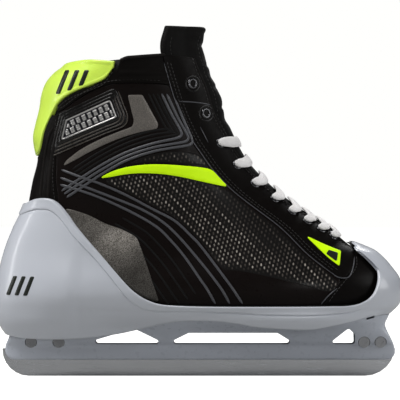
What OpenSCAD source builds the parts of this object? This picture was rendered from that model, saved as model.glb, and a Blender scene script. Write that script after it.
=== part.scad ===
// Goalkeeper's ice hockey skate, right foot.
// +X points to the toe, +Y to the inner side of the foot, +Z up.
// The origin is on the running edge, under the middle of the skate.

/* [Boot] */
// Thickness of the composite shell panels
shell_t = 2.6; // [2.2:0.1:3.0]
// Height of the boot's sole line above the ice
sole_z = 58.5; // [58.5:0.5:59]
// Sideways swing of the toe towards the inner side
toe_swing = 4; // [0:1:6]
// Thickness of the tongue, measured along the skate
tongue_t = 6.5; // [5:0.5:8]
// Thickness of the outsole
outsole_t = 4.6; // [4:0.2:4.6]

/* [Cowling] */
// Wall thickness of the moulded cowling
cowl_t = 3; // [2.6:0.2:3.2]
// Thickness of the plate between the cowling's walls, under the boot
plate_t = 4; // [3:0.5:4]

/* [Runner] */
// Thickness of the steel runner
runner_t = 4; // [3:0.5:4.5]
// Height of the runner that shows below the holder
runner_show = 13; // [11:1:15]
// Radius of the runner's four bolts
bolt_r = 2.5; // [2:0.25:3]

/* [Lacing] */
// Inner radius of an eyelet
eyelet_r = 2.4; // [2.2:0.1:2.6]
// Width of the flat lace
lace_w = 8; // [6:0.5:9]
// Thickness of the flat lace
lace_t = 1.4; // [1:0.1:1.6]

/* [Hidden] */
$fn = 48;

LATERAL = -1;
MEDIAL = 1;
seam_gap = 0.3;                 // gap between neighbouring panels, in degrees round the boot
fit_gap = 0.3;                  // gap between one layer and the next
bore_gap = 0.1;                 // radial clearance of a bolt or rivet in its hole
shell_z = sole_z + 1;           // lower edge of the shell panels
plate_z = sole_z - outsole_t - fit_gap - plate_t;   // underside of the cowling's plate
holder_z = plate_z - fit_gap;   // top of the blade holder

// Lengthwise lines of the boot, each a list of [height, value]
heel_line = [
    [54, -132], [60, -136], [75, -142], [92, -144], [108, -142], [122, -138.5], [134, -134.5],
    [142, -133], [155, -130.5], [172, -126.5], [180, -128.5], [190, -129.5], [200, -127.5],
    [212, -124.5], [222, -123], [232, -119.5], [240, -113], [246, -105], [252, -101], [276, -99]
];
instep_line = [
    [54, 145], [60, 149], [72, 154], [82, 152], [92, 144], [100, 133], [106, 121], [114, 112],
    [122, 100], [135, 80], [151, 60], [168, 43.5], [181, 35], [191, 30], [208, 21], [228, 15.5],
    [245, 8], [262, 4], [276, 7]
];
widest_x = [
    [54, 58], [75, 58], [90, 50], [104, 36], [120, 15], [140, -15], [160, -36], [185, -46],
    [220, -51], [276, -54]
];
half_width = [
    [54, 46], [60, 49], [68, 51.5], [78, 51], [90, 47.5], [100, 44.5], [114, 42], [130, 40],
    [150, 40.5], [170, 42.5], [190, 43.5], [215, 45], [235, 47], [252, 48], [276, 50]
];
heel_power = [[54, 2.7], [100, 2.5], [150, 2.3], [190, 2.2], [276, 2.2]];
toe_power = [[54, 2.3], [90, 2.35], [110, 2.5], [276, 2.5]];
waist_in = [[54, 0.19], [80, 0.15], [110, 0.08], [140, 0.03], [165, 0], [276, 0]];
waist_x = -45;
waist_spread = 45;

// The same lines for the cowling's outer face
cowl_heel_line = [
    [26, -146], [38, -156], [50, -160], [62, -161], [80, -158.5], [95, -155], [106, -151.5],
    [118, -146.5], [127, -142], [133, -139.3], [138, -137.5], [146, -137]
];
cowl_toe_line = [
    [26, 140], [38, 144], [46, 149.5], [50, 153.8], [53.5, 157.5], [57, 160.6], [63, 162.2],
    [70, 162.6], [78, 160.8], [85, 156], [93, 149.2], [100, 141], [104, 132], [107, 125], [146, 120]
];
cowl_extra = [
    [26, -16], [38, -6], [46, 1], [54, 4.5], [62, 5.2], [80, 5], [100, 4.6], [146, 4.2]
];

// Seams of the upper, as [height, x] seen from the side
eyestay_seam = [
    [59, 96], [70, 104], [79, 111], [84, 104], [98, 86], [114, 70], [122, 61], [140, 37],
    [150, 25], [164, 12], [178, 2], [187, -4], [204, -12], [220, -18], [240, -24], [256, -28]
];
toe_seam = [[59, 96], [70, 104], [79, 112], [84, 118], [90, 121.5], [96, 122]];
heel_seam = [[59, -100], [110, -106], [140, -109], [160, -111], [208, -108]];
// Front edge of the eyestay, as [height, angle round the boot]
eyestay_edge = [[96, 37], [101, 28], [105, 21.5], [112, 21.5], [140, 24.5], [186, 29], [233, 34], [256, 36]];
// Upper edge of the quarter and of the cuff, as [angle round the boot, height]
quarter_top = [[60, 227], [72, 230], [90, 231], [103, 229.5], [113, 225], [124, 218], [137, 209.5], [146, 208]];
cuff_top = [[60, 253], [90, 250.5], [97, 248]];
cuff_back = 141;
// Lower edge of the tendon guard, as [angle round the boot, height]
guard_low = [[101, 243], [105, 235], [115, 229.5], [130, 223], [142, 214], [149, 200], [154, 186], [162, 178], [172, 175], [180, 174.5]];
guard_top = [[101, 248], [125, 249.5], [150, 248.5], [180, 247]];
// Lacing, from the toe up, as [x, height] seen from the side
laced_eyelets = [
    [106.5, 112], [97, 117.5], [86, 124], [74, 131.5], [60.5, 141.5], [45, 153.5], [31, 168], [18, 185]
];
free_eyelets = [[6.5, 208], [-4, 231]];

// ---------------------------------------------------------------- curves

function clamp(x, lo, hi) = min(hi, max(lo, x));
function seg(t, x, i = 0) = i < len(t) - 2 && x > t[i + 1][0] ? seg(t, x, i + 1) : i;
function tangent(t, i) =
    let (a = max(i - 1, 0), b = min(i + 1, len(t) - 1))
    (t[b][1] - t[a][1]) / (t[b][0] - t[a][0]);

// Smooth value at x of the curve through a list of [x, value]
function curve(t, x) =
    let (
        i = seg(t, x),
        h = t[i + 1][0] - t[i][0],
        u = clamp((x - t[i][0]) / h, 0, 1),
        m0 = tangent(t, i) * h,
        m1 = tangent(t, i + 1) * h
    )
    (2 * u ^ 3 - 3 * u ^ 2 + 1) * t[i][1] + (u ^ 3 - 2 * u ^ 2 + u) * m0
    + (3 * u ^ 2 - 2 * u ^ 3) * t[i + 1][1] + (u ^ 3 - u ^ 2) * m1;

function mix(a, b, u) = a + (b - a) * u;

// ---------------------------------------------------------------- boot form
// A form is [heel line, toe line, extra half width]; a ring is the form's outline at one height,
// a flattened oval whose widest point is nearer the toe low down and over the ankle high up.

BOOT = [heel_line, instep_line, [[0, 0], [300, 0]]];
COWL = [cowl_heel_line, cowl_toe_line, cowl_extra];

function waist(x, z) = 1 - curve(waist_in, z) * exp(-(((x - waist_x) / waist_spread) ^ 2));
function swing(x) = toe_swing * clamp(x / 140, 0, 1.1) ^ 2;
function power_at(z, c) = curve(c > 0 ? toe_power : heel_power, z);
function reach(form, z, c, off) =
    off + (c > 0 ? curve(form[1], z) - curve(widest_x, z) : curve(widest_x, z) - curve(form[0], z));

// Point at an angle round the ring: 0 at the toe, 90 on the inner side, 180 at the heel
function ring(form, z, a, off = 0) =
    let (
        c = cos(a),
        s = sin(a),
        n = power_at(z, c),
        x = curve(widest_x, z) + sign(c) * reach(form, z, c, off) * abs(c) ^ (2 / n),
        w = curve(half_width, z) + curve(form[2], z) + off
    )
    [x, swing(x) + w * sign(s) * abs(s) ^ (2 / n) * waist(x, z), z];

// Angle round the boot's ring, from 0 to 180, at which it has that x
function angle_at(z, x) =
    let (
        d = x - curve(widest_x, z),
        share = clamp(abs(d) / reach(BOOT, z, d, 0), 0, 1),
        c = sign(d) * share ^ (power_at(z, d) / 2)
    )
    acos(c);

// Point on one side of the boot that is seen at x and z from the side
function on_side(side, x, z, off = 0) = ring(BOOT, z, side * angle_at(z, x), off);

// ---------------------------------------------------------------- solids

function quad(a, b, c, d) = [[a, b, c], [a, c, d]];
function flipped(faces, flip) = flip ? [for (f = faces) [f[2], f[1], f[0]]] : faces;

// Sheet between two surfaces, each a function of u and v from 0 to 1
module sheet(outer, inner, nu, nv, flip = false) {
    row = nv + 1;
    half = (nu + 1) * row;
    points = [
        for (f = [outer, inner]) for (i = [0:nu]) for (j = [0:nv]) f(i / nu, j / nv)
    ];
    skins = [
        for (i = [0:nu - 1]) for (j = [0:nv - 1])
            let (p = i * row + j, q = p + row)
            each concat(quad(p, q, q + 1, p + 1), quad(half + p, half + p + 1, half + q + 1, half + q))
    ];
    ends = [
        for (i = [0:nu - 1])
            let (p = i * row, q = p + row)
            each concat(quad(p, half + p, half + q, q), quad(p + nv, q + nv, half + q + nv, half + p + nv))
    ];
    sides = [
        for (j = [0:nv - 1])
            let (p = j, q = nu * row + j)
            each concat(quad(p, p + 1, half + p + 1, half + p), quad(q, half + q, half + q + 1, q + 1))
    ];
    polyhedron(points, flipped(concat(skins, ends, sides), flip), convexity = 10);
}

// Solid inside a stack of rings, closed flat at its two ends
module stack(ring_at, heights, n = 40) {
    m = len(heights);
    points = [for (z = heights) for (i = [0:n - 1]) ring_at(z, i * 360 / n)];
    walls = [
        for (k = [0:m - 2]) for (i = [0:n - 1])
            let (p = k * n + i, q = k * n + (i + 1) % n)
            each quad(p, p + n, q + n, q)
    ];
    floor_face = [for (i = [0:n - 1]) i];
    roof_face = [for (i = [n - 1:-1:0]) (m - 1) * n + i];
    polyhedron(points, concat(walls, [floor_face, roof_face]), convexity = 10);
}

// A free-form solid that OpenSCAD cuts as a mesh
module meshed() {
    resize([0, 0, 0]) difference() {
        children(0);
        for (i = [1:1:$children - 1]) children(i);
    }
}

module across(x, z, r, length) {
    translate([x, 0, z]) rotate([90, 0, 0]) cylinder(r = r, h = length, center = true);
}

// Panel of the upper on one side, from a front angle to a back angle, between two heights
module panel(side, front, back, low, high, out, inn, nu, nv) {
    at = function (u, v, off)
        let (z = mix(low(u), high(u), v), a = mix(front(z), back(z), u))
        ring(BOOT, z, side * a, off(z));
    sheet(
        function (u, v) at(u, v, out),
        function (u, v) at(u, v, inn),
        nu, nv, side < 0
    );
}

function seam_angle(z) = angle_at(z, curve(eyestay_seam, z));
function heel_angle(z) = angle_at(z, curve(heel_seam, z));
function edge_angle(z) = z < 96 ? angle_at(z, curve(toe_seam, z)) : curve(eyestay_edge, z);
flush = function (z) 0;
under_shell = function (z) -shell_t;

// ---------------------------------------------------------------- cowling

cowl_side = concat(
    // rim, from the heel forward
    [[-170, 137], [-136, 137], [-131, 140], [-124, 142], [-116, 141.5], [-109, 137.5], [-102, 129]],
    [[-94, 118], [-76, 97.5], [-57, 76.5]],
    [for (a = [0:15:45]) [-20 - 52 * sin(45 - a), 111 - 52 * cos(45 - a)]],
    // along the sole and round the window at the toe
    [for (a = [0:15:90]) [120 + 22.5 * sin(a), 81.5 - 22.5 * cos(a)]],
    [for (a = [15:15:75]) [119.5 + 23 * cos(a), 81.5 + 17.5 * sin(a)]],
    [[124, 101], [122, 107], [175, 107], [175, 50]],
    // lower edge, from the toe back
    [[146, 50], [131, 49], [116, 45.5], [101, 42], [84, 40], [60, 41], [30, 45], [2, 47]],
    [[-20, 45.5], [-45, 40], [-70, 34.5], [-100, 31], [-135, 31], [-150, 34], [-170, 36]]
);

module cowling() {
    cavity_z = plate_z + plate_t;
    color([0.76, 0.78, 0.82])
        meshed() {
            intersection() {
                stack(
                    function (z, a) ring(COWL, z, a),
                    [28, 37, 45, 50, 55, 61, 69, 78, 87, 95, 101, 107, 116, 125, 134, 143],
                    42
                );
                rotate([90, 0, 0]) linear_extrude(160, center = true) polygon(cowl_side);
            }
            stack(
                function (z, a) ring(COWL, z, a, -cowl_t),
                [cavity_z, 59, 67, 77, 87, 96, 102, 108, 118, 128, 137, 150],
                42
            );
            stack(function (z, a) ring(COWL, z, a, -cowl_t), [20, 30, 38, 44, plate_z], 42);
            for (p = screw_places) translate([p[0], p[1], 0]) cylinder(r = screw_r + bore_gap, h = 70, $fn = 16);
        }
}

// ---------------------------------------------------------------- blade holder

rail_z0 = runner_show;          // underside of the rail
rail_z1 = rail_z0 + 11;         // top of the rail, and floor of the windows
bolt_z = rail_z0 + 14;
seat_y = 4.9;                   // depth of the seats of the bolt heads and nuts from the middle
bolt_places = [-132, -110, 132, 145];
slot_z = rail_z0 + 8.5;         // top of the runner between the posts
tab_z = bolt_z + 6;             // top of the runner's bolted tabs
rear_tab = [-143, -103];
front_tab = [127, 151];
screw_r = 2;
screw_z = 40;                   // how far down the sole screws reach
screw_places = [
    for (x = [-122, -96, 98, 120]) for (s = [-1, 1]) [x, s * 13],
    for (x = [-20, 40]) for (s = [-1, 1]) [x, s * 12]
];

// Outline of the holder at each height
keel_rear = [[13, -148], [17, -152], [24, -152.5], [30, -150], [38, -148], [52, -150]];
keel_front = [
    [13, 152.5], [17, 156.5], [24, 156], [30, 153.5], [36.4, 150.3], [41.2, 148.8], [45.2, 150.4],
    [47.5, 151.5], [52, 154]
];
keel_width = [[13, 4.4], [15, 4.8], [24, 5], [27, 7.5], [32, 10.5], [38, 16], [43, 23], [52, 31]];
keel_power = [[13, 9], [28, 8], [38, 4], [52, 2.6]];

function keel(z, a) =
    let (c = cos(a), s = sin(a), n = curve(keel_power, z))
    [
        (c > 0 ? curve(keel_front, z) : -curve(keel_rear, z)) * sign(c) * abs(c) ^ (2 / n),
        curve(keel_width, z) * sign(s) * abs(s) ^ (2 / n),
        z
    ];

// Windows through the holder, as the corners of a rounded triangle or slot
windows = [
    [[-79, 27.5], [-33, 27.5], [-50, 36.5]],
    [[-17, 27.5], [71, 27.5], [62.5, 33], [-6.5, 33]],
    [[109, 27.5], [122.5, 27.5], [122.5, 32.6], [119, 36.1]]
];

module window(corners) {
    hull() for (c = corners) across(c[0], c[1], 2, 80, $fn = 16);
}

module runner_side(grow = 0) {
    offset(delta = grow) union() {
        polygon(concat(
            [for (a = [0:15:75]) [-134 - 21 * sin(a), 21 - 21 * cos(a)]],
            [[-155, slot_z], [157, slot_z]],
            [for (a = [75:-15:0]) [133 + 24 * sin(a), 24 - 24 * cos(a)]]
        ));
        for (t = [rear_tab, front_tab])
            polygon([[t[0], 8], [t[1], 8], [t[1], tab_z - 3], [t[1] - 3, tab_z], [t[0] + 3, tab_z], [t[0], tab_z - 3]]);
    }
}

module blade_holder() {
    color([0.74, 0.76, 0.80])
        meshed() {
            stack(function (z, a) keel(z, a), [13, 15, 19, 24, 28, 33, 38, 43.5, holder_z], 36);
            for (w = windows) window(w);
            rotate([90, 0, 0]) linear_extrude(runner_t + 2 * bore_gap, center = true) runner_side(0.1);
            for (x = bolt_places) {
                across(x, bolt_z, bolt_r + bore_gap, 80, $fn = 16);
                for (s = [-1, 1]) translate([0, s * (seat_y + 10), 0]) across(x, bolt_z, 4.8, 20, $fn = 16);
            }
            for (p = screw_places)
                translate([p[0], p[1], screw_z - 0.5]) cylinder(r = screw_r + bore_gap, h = 30, $fn = 16);
            // slot under the toe, right across
            translate([136, 0, 47.3]) rotate([0, -15, 0]) cube([6.5, 120, 1.5], center = true);
        }
}

module runner() {
    color([0.82, 0.83, 0.85])
        difference() {
            rotate([90, 0, 0]) linear_extrude(runner_t, center = true) runner_side();
            for (x = bolt_places) across(x, bolt_z, bolt_r + bore_gap, 20);
        }
}

module blade_bolts() {
    color([0.55, 0.56, 0.58])
        for (x = bolt_places) translate([x, 0, bolt_z]) rotate([90, 0, 0]) difference() {
            union() {
                translate([0, 0, -seat_y - 2.4]) cylinder(r = bolt_r, h = 2 * seat_y + 2.5);
                translate([0, 0, seat_y + 0.1]) cylinder(r = 4.3, h = 2);
            }
            translate([0, 0, seat_y + 1]) cylinder(r = 1.7, h = 5, $fn = 6);
        }
}

module blade_nuts() {
    color([0.6, 0.6, 0.62])
        for (x = bolt_places) translate([x, 0, bolt_z]) rotate([90, 0, 0]) translate([0, 0, -seat_y - 2.5])
            difference() {
                cylinder(r = 4.3, h = 2.4, $fn = 6);
                translate([0, 0, -1]) cylinder(r = bolt_r + 0.02, h = 6);
            }
}

// Screws from inside the boot, down through the sole and the plate into the holder
module sole_screws() {
    head_z = shell_z + insole_t + 0.1;
    color([0.6, 0.6, 0.62])
        for (p = screw_places) translate([p[0], p[1], 0]) difference() {
            union() {
                translate([0, 0, head_z]) cylinder(r = 4, h = 0.9);
                translate([0, 0, screw_z]) cylinder(r = screw_r, h = head_z - screw_z + 0.1);
            }
            translate([0, 0, head_z + 0.4]) cylinder(r = 1.4, h = 2, $fn = 4);
        }
}

// ---------------------------------------------------------------- sole

insole_t = 1.8;

module sole_slab(z0, z1, off) {
    stack(function (z, a) ring(BOOT, z < sole_z ? z + 2 : z, a, off) + [0, 0, z < sole_z ? -2 : 0], [z0, z1], 36);
}

module outsole() {
    color([0.08, 0.08, 0.08])
        meshed() {
            sole_slab(sole_z - outsole_t, sole_z + 0.6, -0.6);
            for (p = screw_places) translate([p[0], p[1], 40]) cylinder(r = screw_r + bore_gap, h = 40, $fn = 16);
        }
}

module insole_board() {
    color([0.45, 0.36, 0.26])
        meshed() {
            sole_slab(shell_z, shell_z + insole_t, -shell_t - 0.9);
            for (p = screw_places) translate([p[0], p[1], 40]) cylinder(r = screw_r + bore_gap, h = 40, $fn = 16);
        }
}

liner_in = [[59, -5], [90, -6], [130, -8], [200, -9], [256, -8.5]];
footbed_z = shell_z + insole_t + 1.2;

module footbed() {
    color([0.15, 0.16, 0.17])
        stack(
            function (z, a) ring(BOOT, footbed_z, a, -9.5) + [0, 0, z - footbed_z],
            [footbed_z, footbed_z + 4], 40
        );
}

// ---------------------------------------------------------------- upper

module toe_cap() {
    low = function (u) shell_z;
    high = function (u) 106.2 - 11 * abs(2 * u - 1) ^ 2.2;
    at = function (u, v, off)
        let (z = mix(low(u), high(u), v), a = angle_at(z, curve(toe_seam, z)) - seam_gap)
        ring(BOOT, z, a * (1 - 2 * u), off);
    color([0.07, 0.07, 0.07])
        sheet(function (u, v) at(u, v, 0), function (u, v) at(u, v, -shell_t), 18, 10, true);
}

function half_turn(a) = a > 180 ? 360 - a : a;
function below_guard(a) = curve(guard_low, half_turn(a)) - 1.6;

// Upper edge of the heel counter, from one of its seams (0) to the other (1)
function counter_top(u) =
    let (h = heel_angle(clamp(below_guard(mix(139, 221, u)), 172, 204)))
    min(206, below_guard(mix(h, 360 - h, u)));

module heel_counter() {
    top = function (u) counter_top(u);
    at = function (u, v, off)
        let (z = mix(shell_z, top(u), v), a = heel_angle(z) + seam_gap)
        ring(BOOT, z, mix(a, 360 - a, u), off);
    color([0.09, 0.09, 0.09])
        sheet(function (u, v) at(u, v, 0), function (u, v) at(u, v, -shell_t), 20, 11);
}

// Angle round the boot of a point on the upper edge of the quarter, and of the cuff
function quarter_angle(u) =
    let (z = curve(quarter_top, mix(67, 139, u)))
    mix(seam_angle(z), heel_angle(z), u);
function cuff_angle(u) = mix(seam_angle(curve(quarter_top, mix(67, cuff_back, u))), cuff_back, u);

module quarter(side) {
    color([0.10, 0.10, 0.10])
        panel(
            side,
            function (z) seam_angle(z) + seam_gap,
            function (z) heel_angle(z) - seam_gap,
            function (u) shell_z,
            function (u) curve(quarter_top, quarter_angle(u)),
            flush, under_shell, 16, 14
        );
}

module cuff(side) {
    color([0.06, 0.06, 0.06])
        panel(
            side,
            function (z) seam_angle(z) + seam_gap,
            function (z) cuff_back,
            function (u) curve(quarter_top, cuff_angle(u)) + 0.7,
            function (u) let (b = mix(69, cuff_back, u)) b < 97 ? curve(cuff_top, b) : below_guard(max(b, 101)),
            flush, under_shell, 26, 4
        );
}

module eyestay(side) {
    color([0.05, 0.05, 0.05])
        difference() {
            panel(
                side,
                function (z) edge_angle(z) + seam_gap,
                function (z) seam_angle(z) - seam_gap,
                function (u) 80.5,
                function (u) 253 - 2 * (1 - u),
                flush, under_shell, 4, 24
            );
            for (e = concat(laced_eyelets, free_eyelets))
                at_eyelet(side, e) cylinder(r = eyelet_r + 0.9, h = 20, center = true);
        }
}

function unit(v) = v / norm(v);

// Outward normal of the boot's form
function normal_at(z, a) = unit(cross(
    ring(BOOT, z, a + 0.5) - ring(BOOT, z, a - 0.5),
    ring(BOOT, z + 0.5, a) - ring(BOOT, z - 0.5, a)
));

// How far an eyelet's barrel reaches below the form, through the slanting shell
function barrel(n) = shell_t * norm([n[0], n[1]]) + 0.3;

// Puts its child at an eyelet, with +Z along the boot's outward normal
module at_eyelet(side, e) {
    a = side * angle_at(e[1], e[0]);
    n = normal_at(e[1], a);
    $barrel = barrel(n);
    translate(ring(BOOT, e[1], a)) rotate([0, acos(n[2]), atan2(n[1], n[0])]) children();
}

module eyelets(side) {
    color([0.25, 0.25, 0.26])
        for (e = concat(laced_eyelets, free_eyelets)) at_eyelet(side, e) difference() {
            union() {
                translate([0, 0, 0.35]) cylinder(r = eyelet_r + 1.9, h = 0.8);
                translate([0, 0, -$barrel]) cylinder(r = eyelet_r + 0.7, h = $barrel + 0.6);
            }
            translate([0, 0, -10]) cylinder(r = eyelet_r, h = 20);
        }
}

// ---------------------------------------------------------------- soft parts

module liner(side) {
    top = [[0, 228], [0.45, 228], [0.6, 222], [0.72, 212], [0.82, 192], [0.9, 174], [1, 170]];
    color([0.13, 0.13, 0.14])
        panel(
            side,
            function (z) seam_angle(z) + 2,
            function (z) 179.6,
            function (u) shell_z + insole_t + 0.4,
            function (u) curve(top, u),
            function (z) -shell_t - 0.9,
            function (z) curve(liner_in, z),
            14, 11
        );
}

module collar_pad(side) {
    color([0.10, 0.10, 0.11])
        panel(
            side,
            function (z) seam_angle(z) + 2,
            function (z) 116,
            function (u) 230,
            function (u) 250.5 - 3 * u ^ 2,
            function (z) -shell_t - fit_gap,
            function (z) -shell_t - fit_gap - 7 * sin(clamp((z - 227) * 7, 0, 180)) - 1,
            8, 6
        );
}

// The guard is one moulding that bends along a line just above its sewn lower edge: the part
// below the line stays with the boot, the part above swings back.
function guard_fold(b) =
    max(curve(guard_low, b) + 1.5 + 6 * smooth((b - 101) / 18), 199 + 42 * ((180 - b) / 79) ^ 1.5);
module guard_part(low, high, out, n) {
    at = function (u, v, off)
        let (a = mix(101, 259, u), b = half_turn(a), z = mix(low(b), high(b), v))
        ring(BOOT, z, a, off);
    sheet(function (u, v) at(u, v, out), function (u, v) at(u, v, -shell_t), 26, n);
}

module guard_base() {
    color([0.80, 0.93, 0.36])
        guard_part(function (b) curve(guard_low, b), function (b) guard_fold(b) - fit_gap, 0.9, 3);
}

module tendon_guard() {
    color([0.80, 0.93, 0.36])
        guard_part(
            function (b) guard_fold(b),
            function (b) curve(guard_top, b),
            0.9, 6
        );
}

module tendon_pad() {
    at = function (u, v, off)
        let (a = mix(130, 230, u), b = half_turn(a), z = mix(guard_fold(b) + 1, 245.5, v))
        ring(BOOT, z, a, off);
    color([0.12, 0.12, 0.13])
        sheet(
            function (u, v) at(u, v, -shell_t - 0.6),
            function (u, v) at(u, v, -shell_t - 2.6 - 4.5 * sin(180 * v) * sin(180 * u)),
            14, 6
        );
}

flap_z = 254;                   // where the free end of the tongue folds
tongue_under = -8.6;            // how deep the tongue lies under the eyestays
tongue_front = [[98, -8.6], [106, -8.6], [114, -3], [124, -1.5], [188, -1.5], [204, 0], [276, 0]];
tongue_angle = [[98, 40], [110, 48], [150, 52], [190, 54], [230, 57], [256, 62], [276, 58]];

function smooth(t) = let (u = clamp(t, 0, 1)) u * u * (3 - 2 * u);

// Offset of the tongue's outer face from the boot's form: full in the throat, deep at the edges
function tongue_off(z, a) =
    let (e = curve(eyestay_edge, max(z, 105)))
    mix(curve(tongue_front, z), tongue_under, smooth((abs(a) / e - 0.3) / 0.65));

module tongue_piece(z0, z1, n) {
    at = function (u, v, off)
        let (z = mix(z0, z1, v), a = curve(tongue_angle, z) * (2 * u - 1))
        ring(BOOT, z, a, tongue_off(z, a) + off);
    sheet(function (u, v) at(u, v, 0), function (u, v) at(u, v, -tongue_t), 18, n);
}

module tongue_lower() {
    color([0.07, 0.07, 0.07]) tongue_piece(98, flap_z - 0.3, 16);
}

module tongue_flap() {
    color([0.07, 0.07, 0.07]) tongue_piece(flap_z, 276, 3);
}

module badge(side, x0, x1, grow, out, inn) {
    low = function (x) mix(187, 208.5, (x + 105) / 43) - grow;
    high = function (x) mix(202.5, 218.5, (x + 102.5) / 34.5) + grow;
    at = function (u, v, off)
        let (x = mix(x0, x1, u) + mix(0, mix(2.5, -5, u), v), z = mix(low(x), high(x), v))
        on_side(side, x, z, off);
    sheet(function (u, v) at(u, v, out), function (u, v) at(u, v, inn), 8, 4, side > 0);
}

module badge_plate(side) {
    color([0.30, 0.30, 0.31]) badge(side, -104.5, -62.5, 0, 2.2, 1.3);
}

module badge_frame(side) {
    color([0.10, 0.10, 0.10]) badge(side, -107, -59, 3.2, 1.2, 0.25);
}

// ---------------------------------------------------------------- lace
// One flat lace. It crosses the tongue once at each row, on top, and goes up inside the eyestay to
// the next row, on alternate sides. Its other end runs straight up inside the outer eyestay from the
// lowest row, and both ends are tucked in at the top. A station of its path is [height, angle round
// the boot, depth of the face it lies on, height above that face, width, thickness, turn]; turn is 0
// where the width runs up the boot and 90 where it runs round it.

// Heights of the middle of each crossing, from the toe up
crossings = [117.3, 123.5, 130.5, 138.5, 147.5, 158.5, 171.5, 185.5];
last = len(laced_eyelets) - 1;

function eyelet_z(k) = laced_eyelets[k][1];
function eyelet_angle(k) = angle_at(laced_eyelets[k][1], laced_eyelets[k][0]);
function start_side(k) = k % 2 == 0 ? LATERAL : MEDIAL;

// Face a crossing lies on: the eyestay, then straight over to the middle of the tongue
function spanned(z, a) = mix(tongue_off(z, 0), 0, min(1, a / curve(eyestay_edge, z)));

// Half a crossing, from inside eyelet k on one side nearly to the middle
function half_crossing(side, k) =
    let (
        z0 = eyelet_z(k), a0 = eyelet_angle(k), c = crossings[k],
        depth = barrel(normal_at(z0, side * a0)),
        lie = lace_t / 2 + 0.8
    )
    concat(
        [for (o = [-depth - 0.9, -depth / 2, 0.9]) [z0, side * a0, 0, o, 2.7, 2.2, 0]],
        [for (s = [0.08, 0.2, 0.4, 0.6, 0.8])
            let (z = mix(z0, c, smooth(s)), a = a0 * (1 - s), f = smooth(s * 4))
            [
                z, side * a, spanned(z, a), mix(1.5 + lie, lie, smooth(s * 2)),
                mix(3.4, lace_w, f), mix(1.8, lace_t, f), 0
            ]
        ]
    );

function reversed(list) = [for (i = [len(list) - 1:-1:0]) list[i]];

function crossing(k) =
    let (c = crossings[k], side = start_side(k))
    concat(
        half_crossing(side, k),
        [[c, 0, tongue_off(c, 0), lace_t / 2 + 0.8, lace_w, lace_t, 0]],
        reversed(half_crossing(-side, k))
    );

// Station inside an eyestay, at a height and an angle
function inside(side, z, a) =
    [z, side * a, 0, -barrel(normal_at(z, side * a)) - 1.6, 5, lace_t, 90];

// From one row up to the next, inside the eyestay
function climb(side, k) =
    [for (s = [0.3, 0.5, 0.7])
        inside(side, mix(eyelet_z(k), eyelet_z(k + 1), s), mix(eyelet_angle(k), eyelet_angle(k + 1), s))
    ];

// The end tucked in above the top row, and the end that runs straight up from the lowest row
top_end = [for (s = [5, 12]) inside(LATERAL, eyelet_z(last) + s, eyelet_angle(last) + s * 0.5)];
long_end = concat(
    [inside(LATERAL, eyelet_z(0) + 1.5, eyelet_angle(0) + 5)],
    [for (k = [1:last]) inside(LATERAL, eyelet_z(k), eyelet_angle(k) + 11)],
    [inside(LATERAL, eyelet_z(last) + 12, eyelet_angle(last) + 15)]
);

lace_path = concat(
    reversed(long_end),
    [for (k = [0:last]) each concat(crossing(k), k < last ? climb(-start_side(k), k) : top_end)]
);

function at_station(s) = ring(BOOT, s[0], s[1], s[2]) + normal_at(s[0], s[1]) * s[3];

// Corners of the lace's section at a station
function section(s, t) =
    let (
        up = unit(ring(BOOT, s[0] + 1, s[1]) - ring(BOOT, s[0] - 1, s[1])),
        about = unit(ring(BOOT, s[0], s[1] + 1) - ring(BOOT, s[0], s[1] - 1)),
        way = up * cos(s[6]) + about * sin(s[6]),
        p = at_station(s),
        w = unit(way - t * (way * t)) * s[4] / 2,
        n = unit(cross(t, w)) * s[5] / 2
    )
    [p + w + n, p - w + n, p - w - n, p + w - n];

// Solid swept by a rectangle through the stations of a path
module sweep(stations) {
    m = len(stations);
    p = [for (s = stations) at_station(s)];
    sections = [
        for (i = [0:m - 1]) section(stations[i], unit(p[min(i + 1, m - 1)] - p[max(i - 1, 0)]))
    ];
    walls = [
        for (i = [0:m - 2]) for (j = [0:3])
            let (a = 4 * i + j, b = 4 * i + (j + 1) % 4)
            each quad(a, a + 4, b + 4, b)
    ];
    polyhedron(
        [for (s = sections) each s],
        concat(walls, [[0, 1, 2, 3], [for (j = [3:-1:0]) 4 * (m - 1) + j]]),
        convexity = 10
    );
}

module lace() {
    color([0.80, 0.79, 0.78]) sweep(lace_path);
}

module lace_tips() {
    color([0.85, 0.85, 0.85])
        for (s = [lace_path[0], lace_path[len(lace_path) - 1]]) {
            p = at_station(s);
            q = at_station(s + [20, 0, 0, -0.8, 0, 0, 0]);
            d = unit(q - p);
            translate(p + d * 1.2) rotate([0, acos(d[2]), atan2(d[1], d[0])]) cylinder(r = 1.2, h = 18, $fn = 16);
        }
}

// ---------------------------------------------------------------- nodes

cowling();
blade_holder();
runner();
blade_bolts();
blade_nuts();
sole_screws();
outsole();
insole_board();
footbed();
toe_cap();
heel_counter();
quarter(LATERAL);  // quarter_lateral
quarter(MEDIAL);  // quarter_medial
eyestay(LATERAL);  // eyestay_lateral
eyestay(MEDIAL);  // eyestay_medial
cuff(LATERAL);  // cuff_lateral
cuff(MEDIAL);  // cuff_medial
collar_pad(LATERAL);  // collar_pad_lateral
collar_pad(MEDIAL);  // collar_pad_medial
liner(LATERAL);  // liner_lateral
liner(MEDIAL);  // liner_medial
badge_plate(LATERAL);  // badge_lateral
badge_plate(MEDIAL);  // badge_medial
badge_frame(LATERAL);  // badge_frame_lateral
badge_frame(MEDIAL);  // badge_frame_medial
eyelets(LATERAL);  // eyelets_lateral
eyelets(MEDIAL);  // eyelets_medial
guard_base();
tendon_guard();
tendon_pad();
tongue_lower();
tongue_flap();
lace();
lace_tips();
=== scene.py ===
"""Goalkeeper's ice hockey skate: the looks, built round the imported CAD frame."""
import math

import bpy
import numpy as np
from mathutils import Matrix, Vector
from mathutils.geometry import delaunay_2d_cdt


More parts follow.
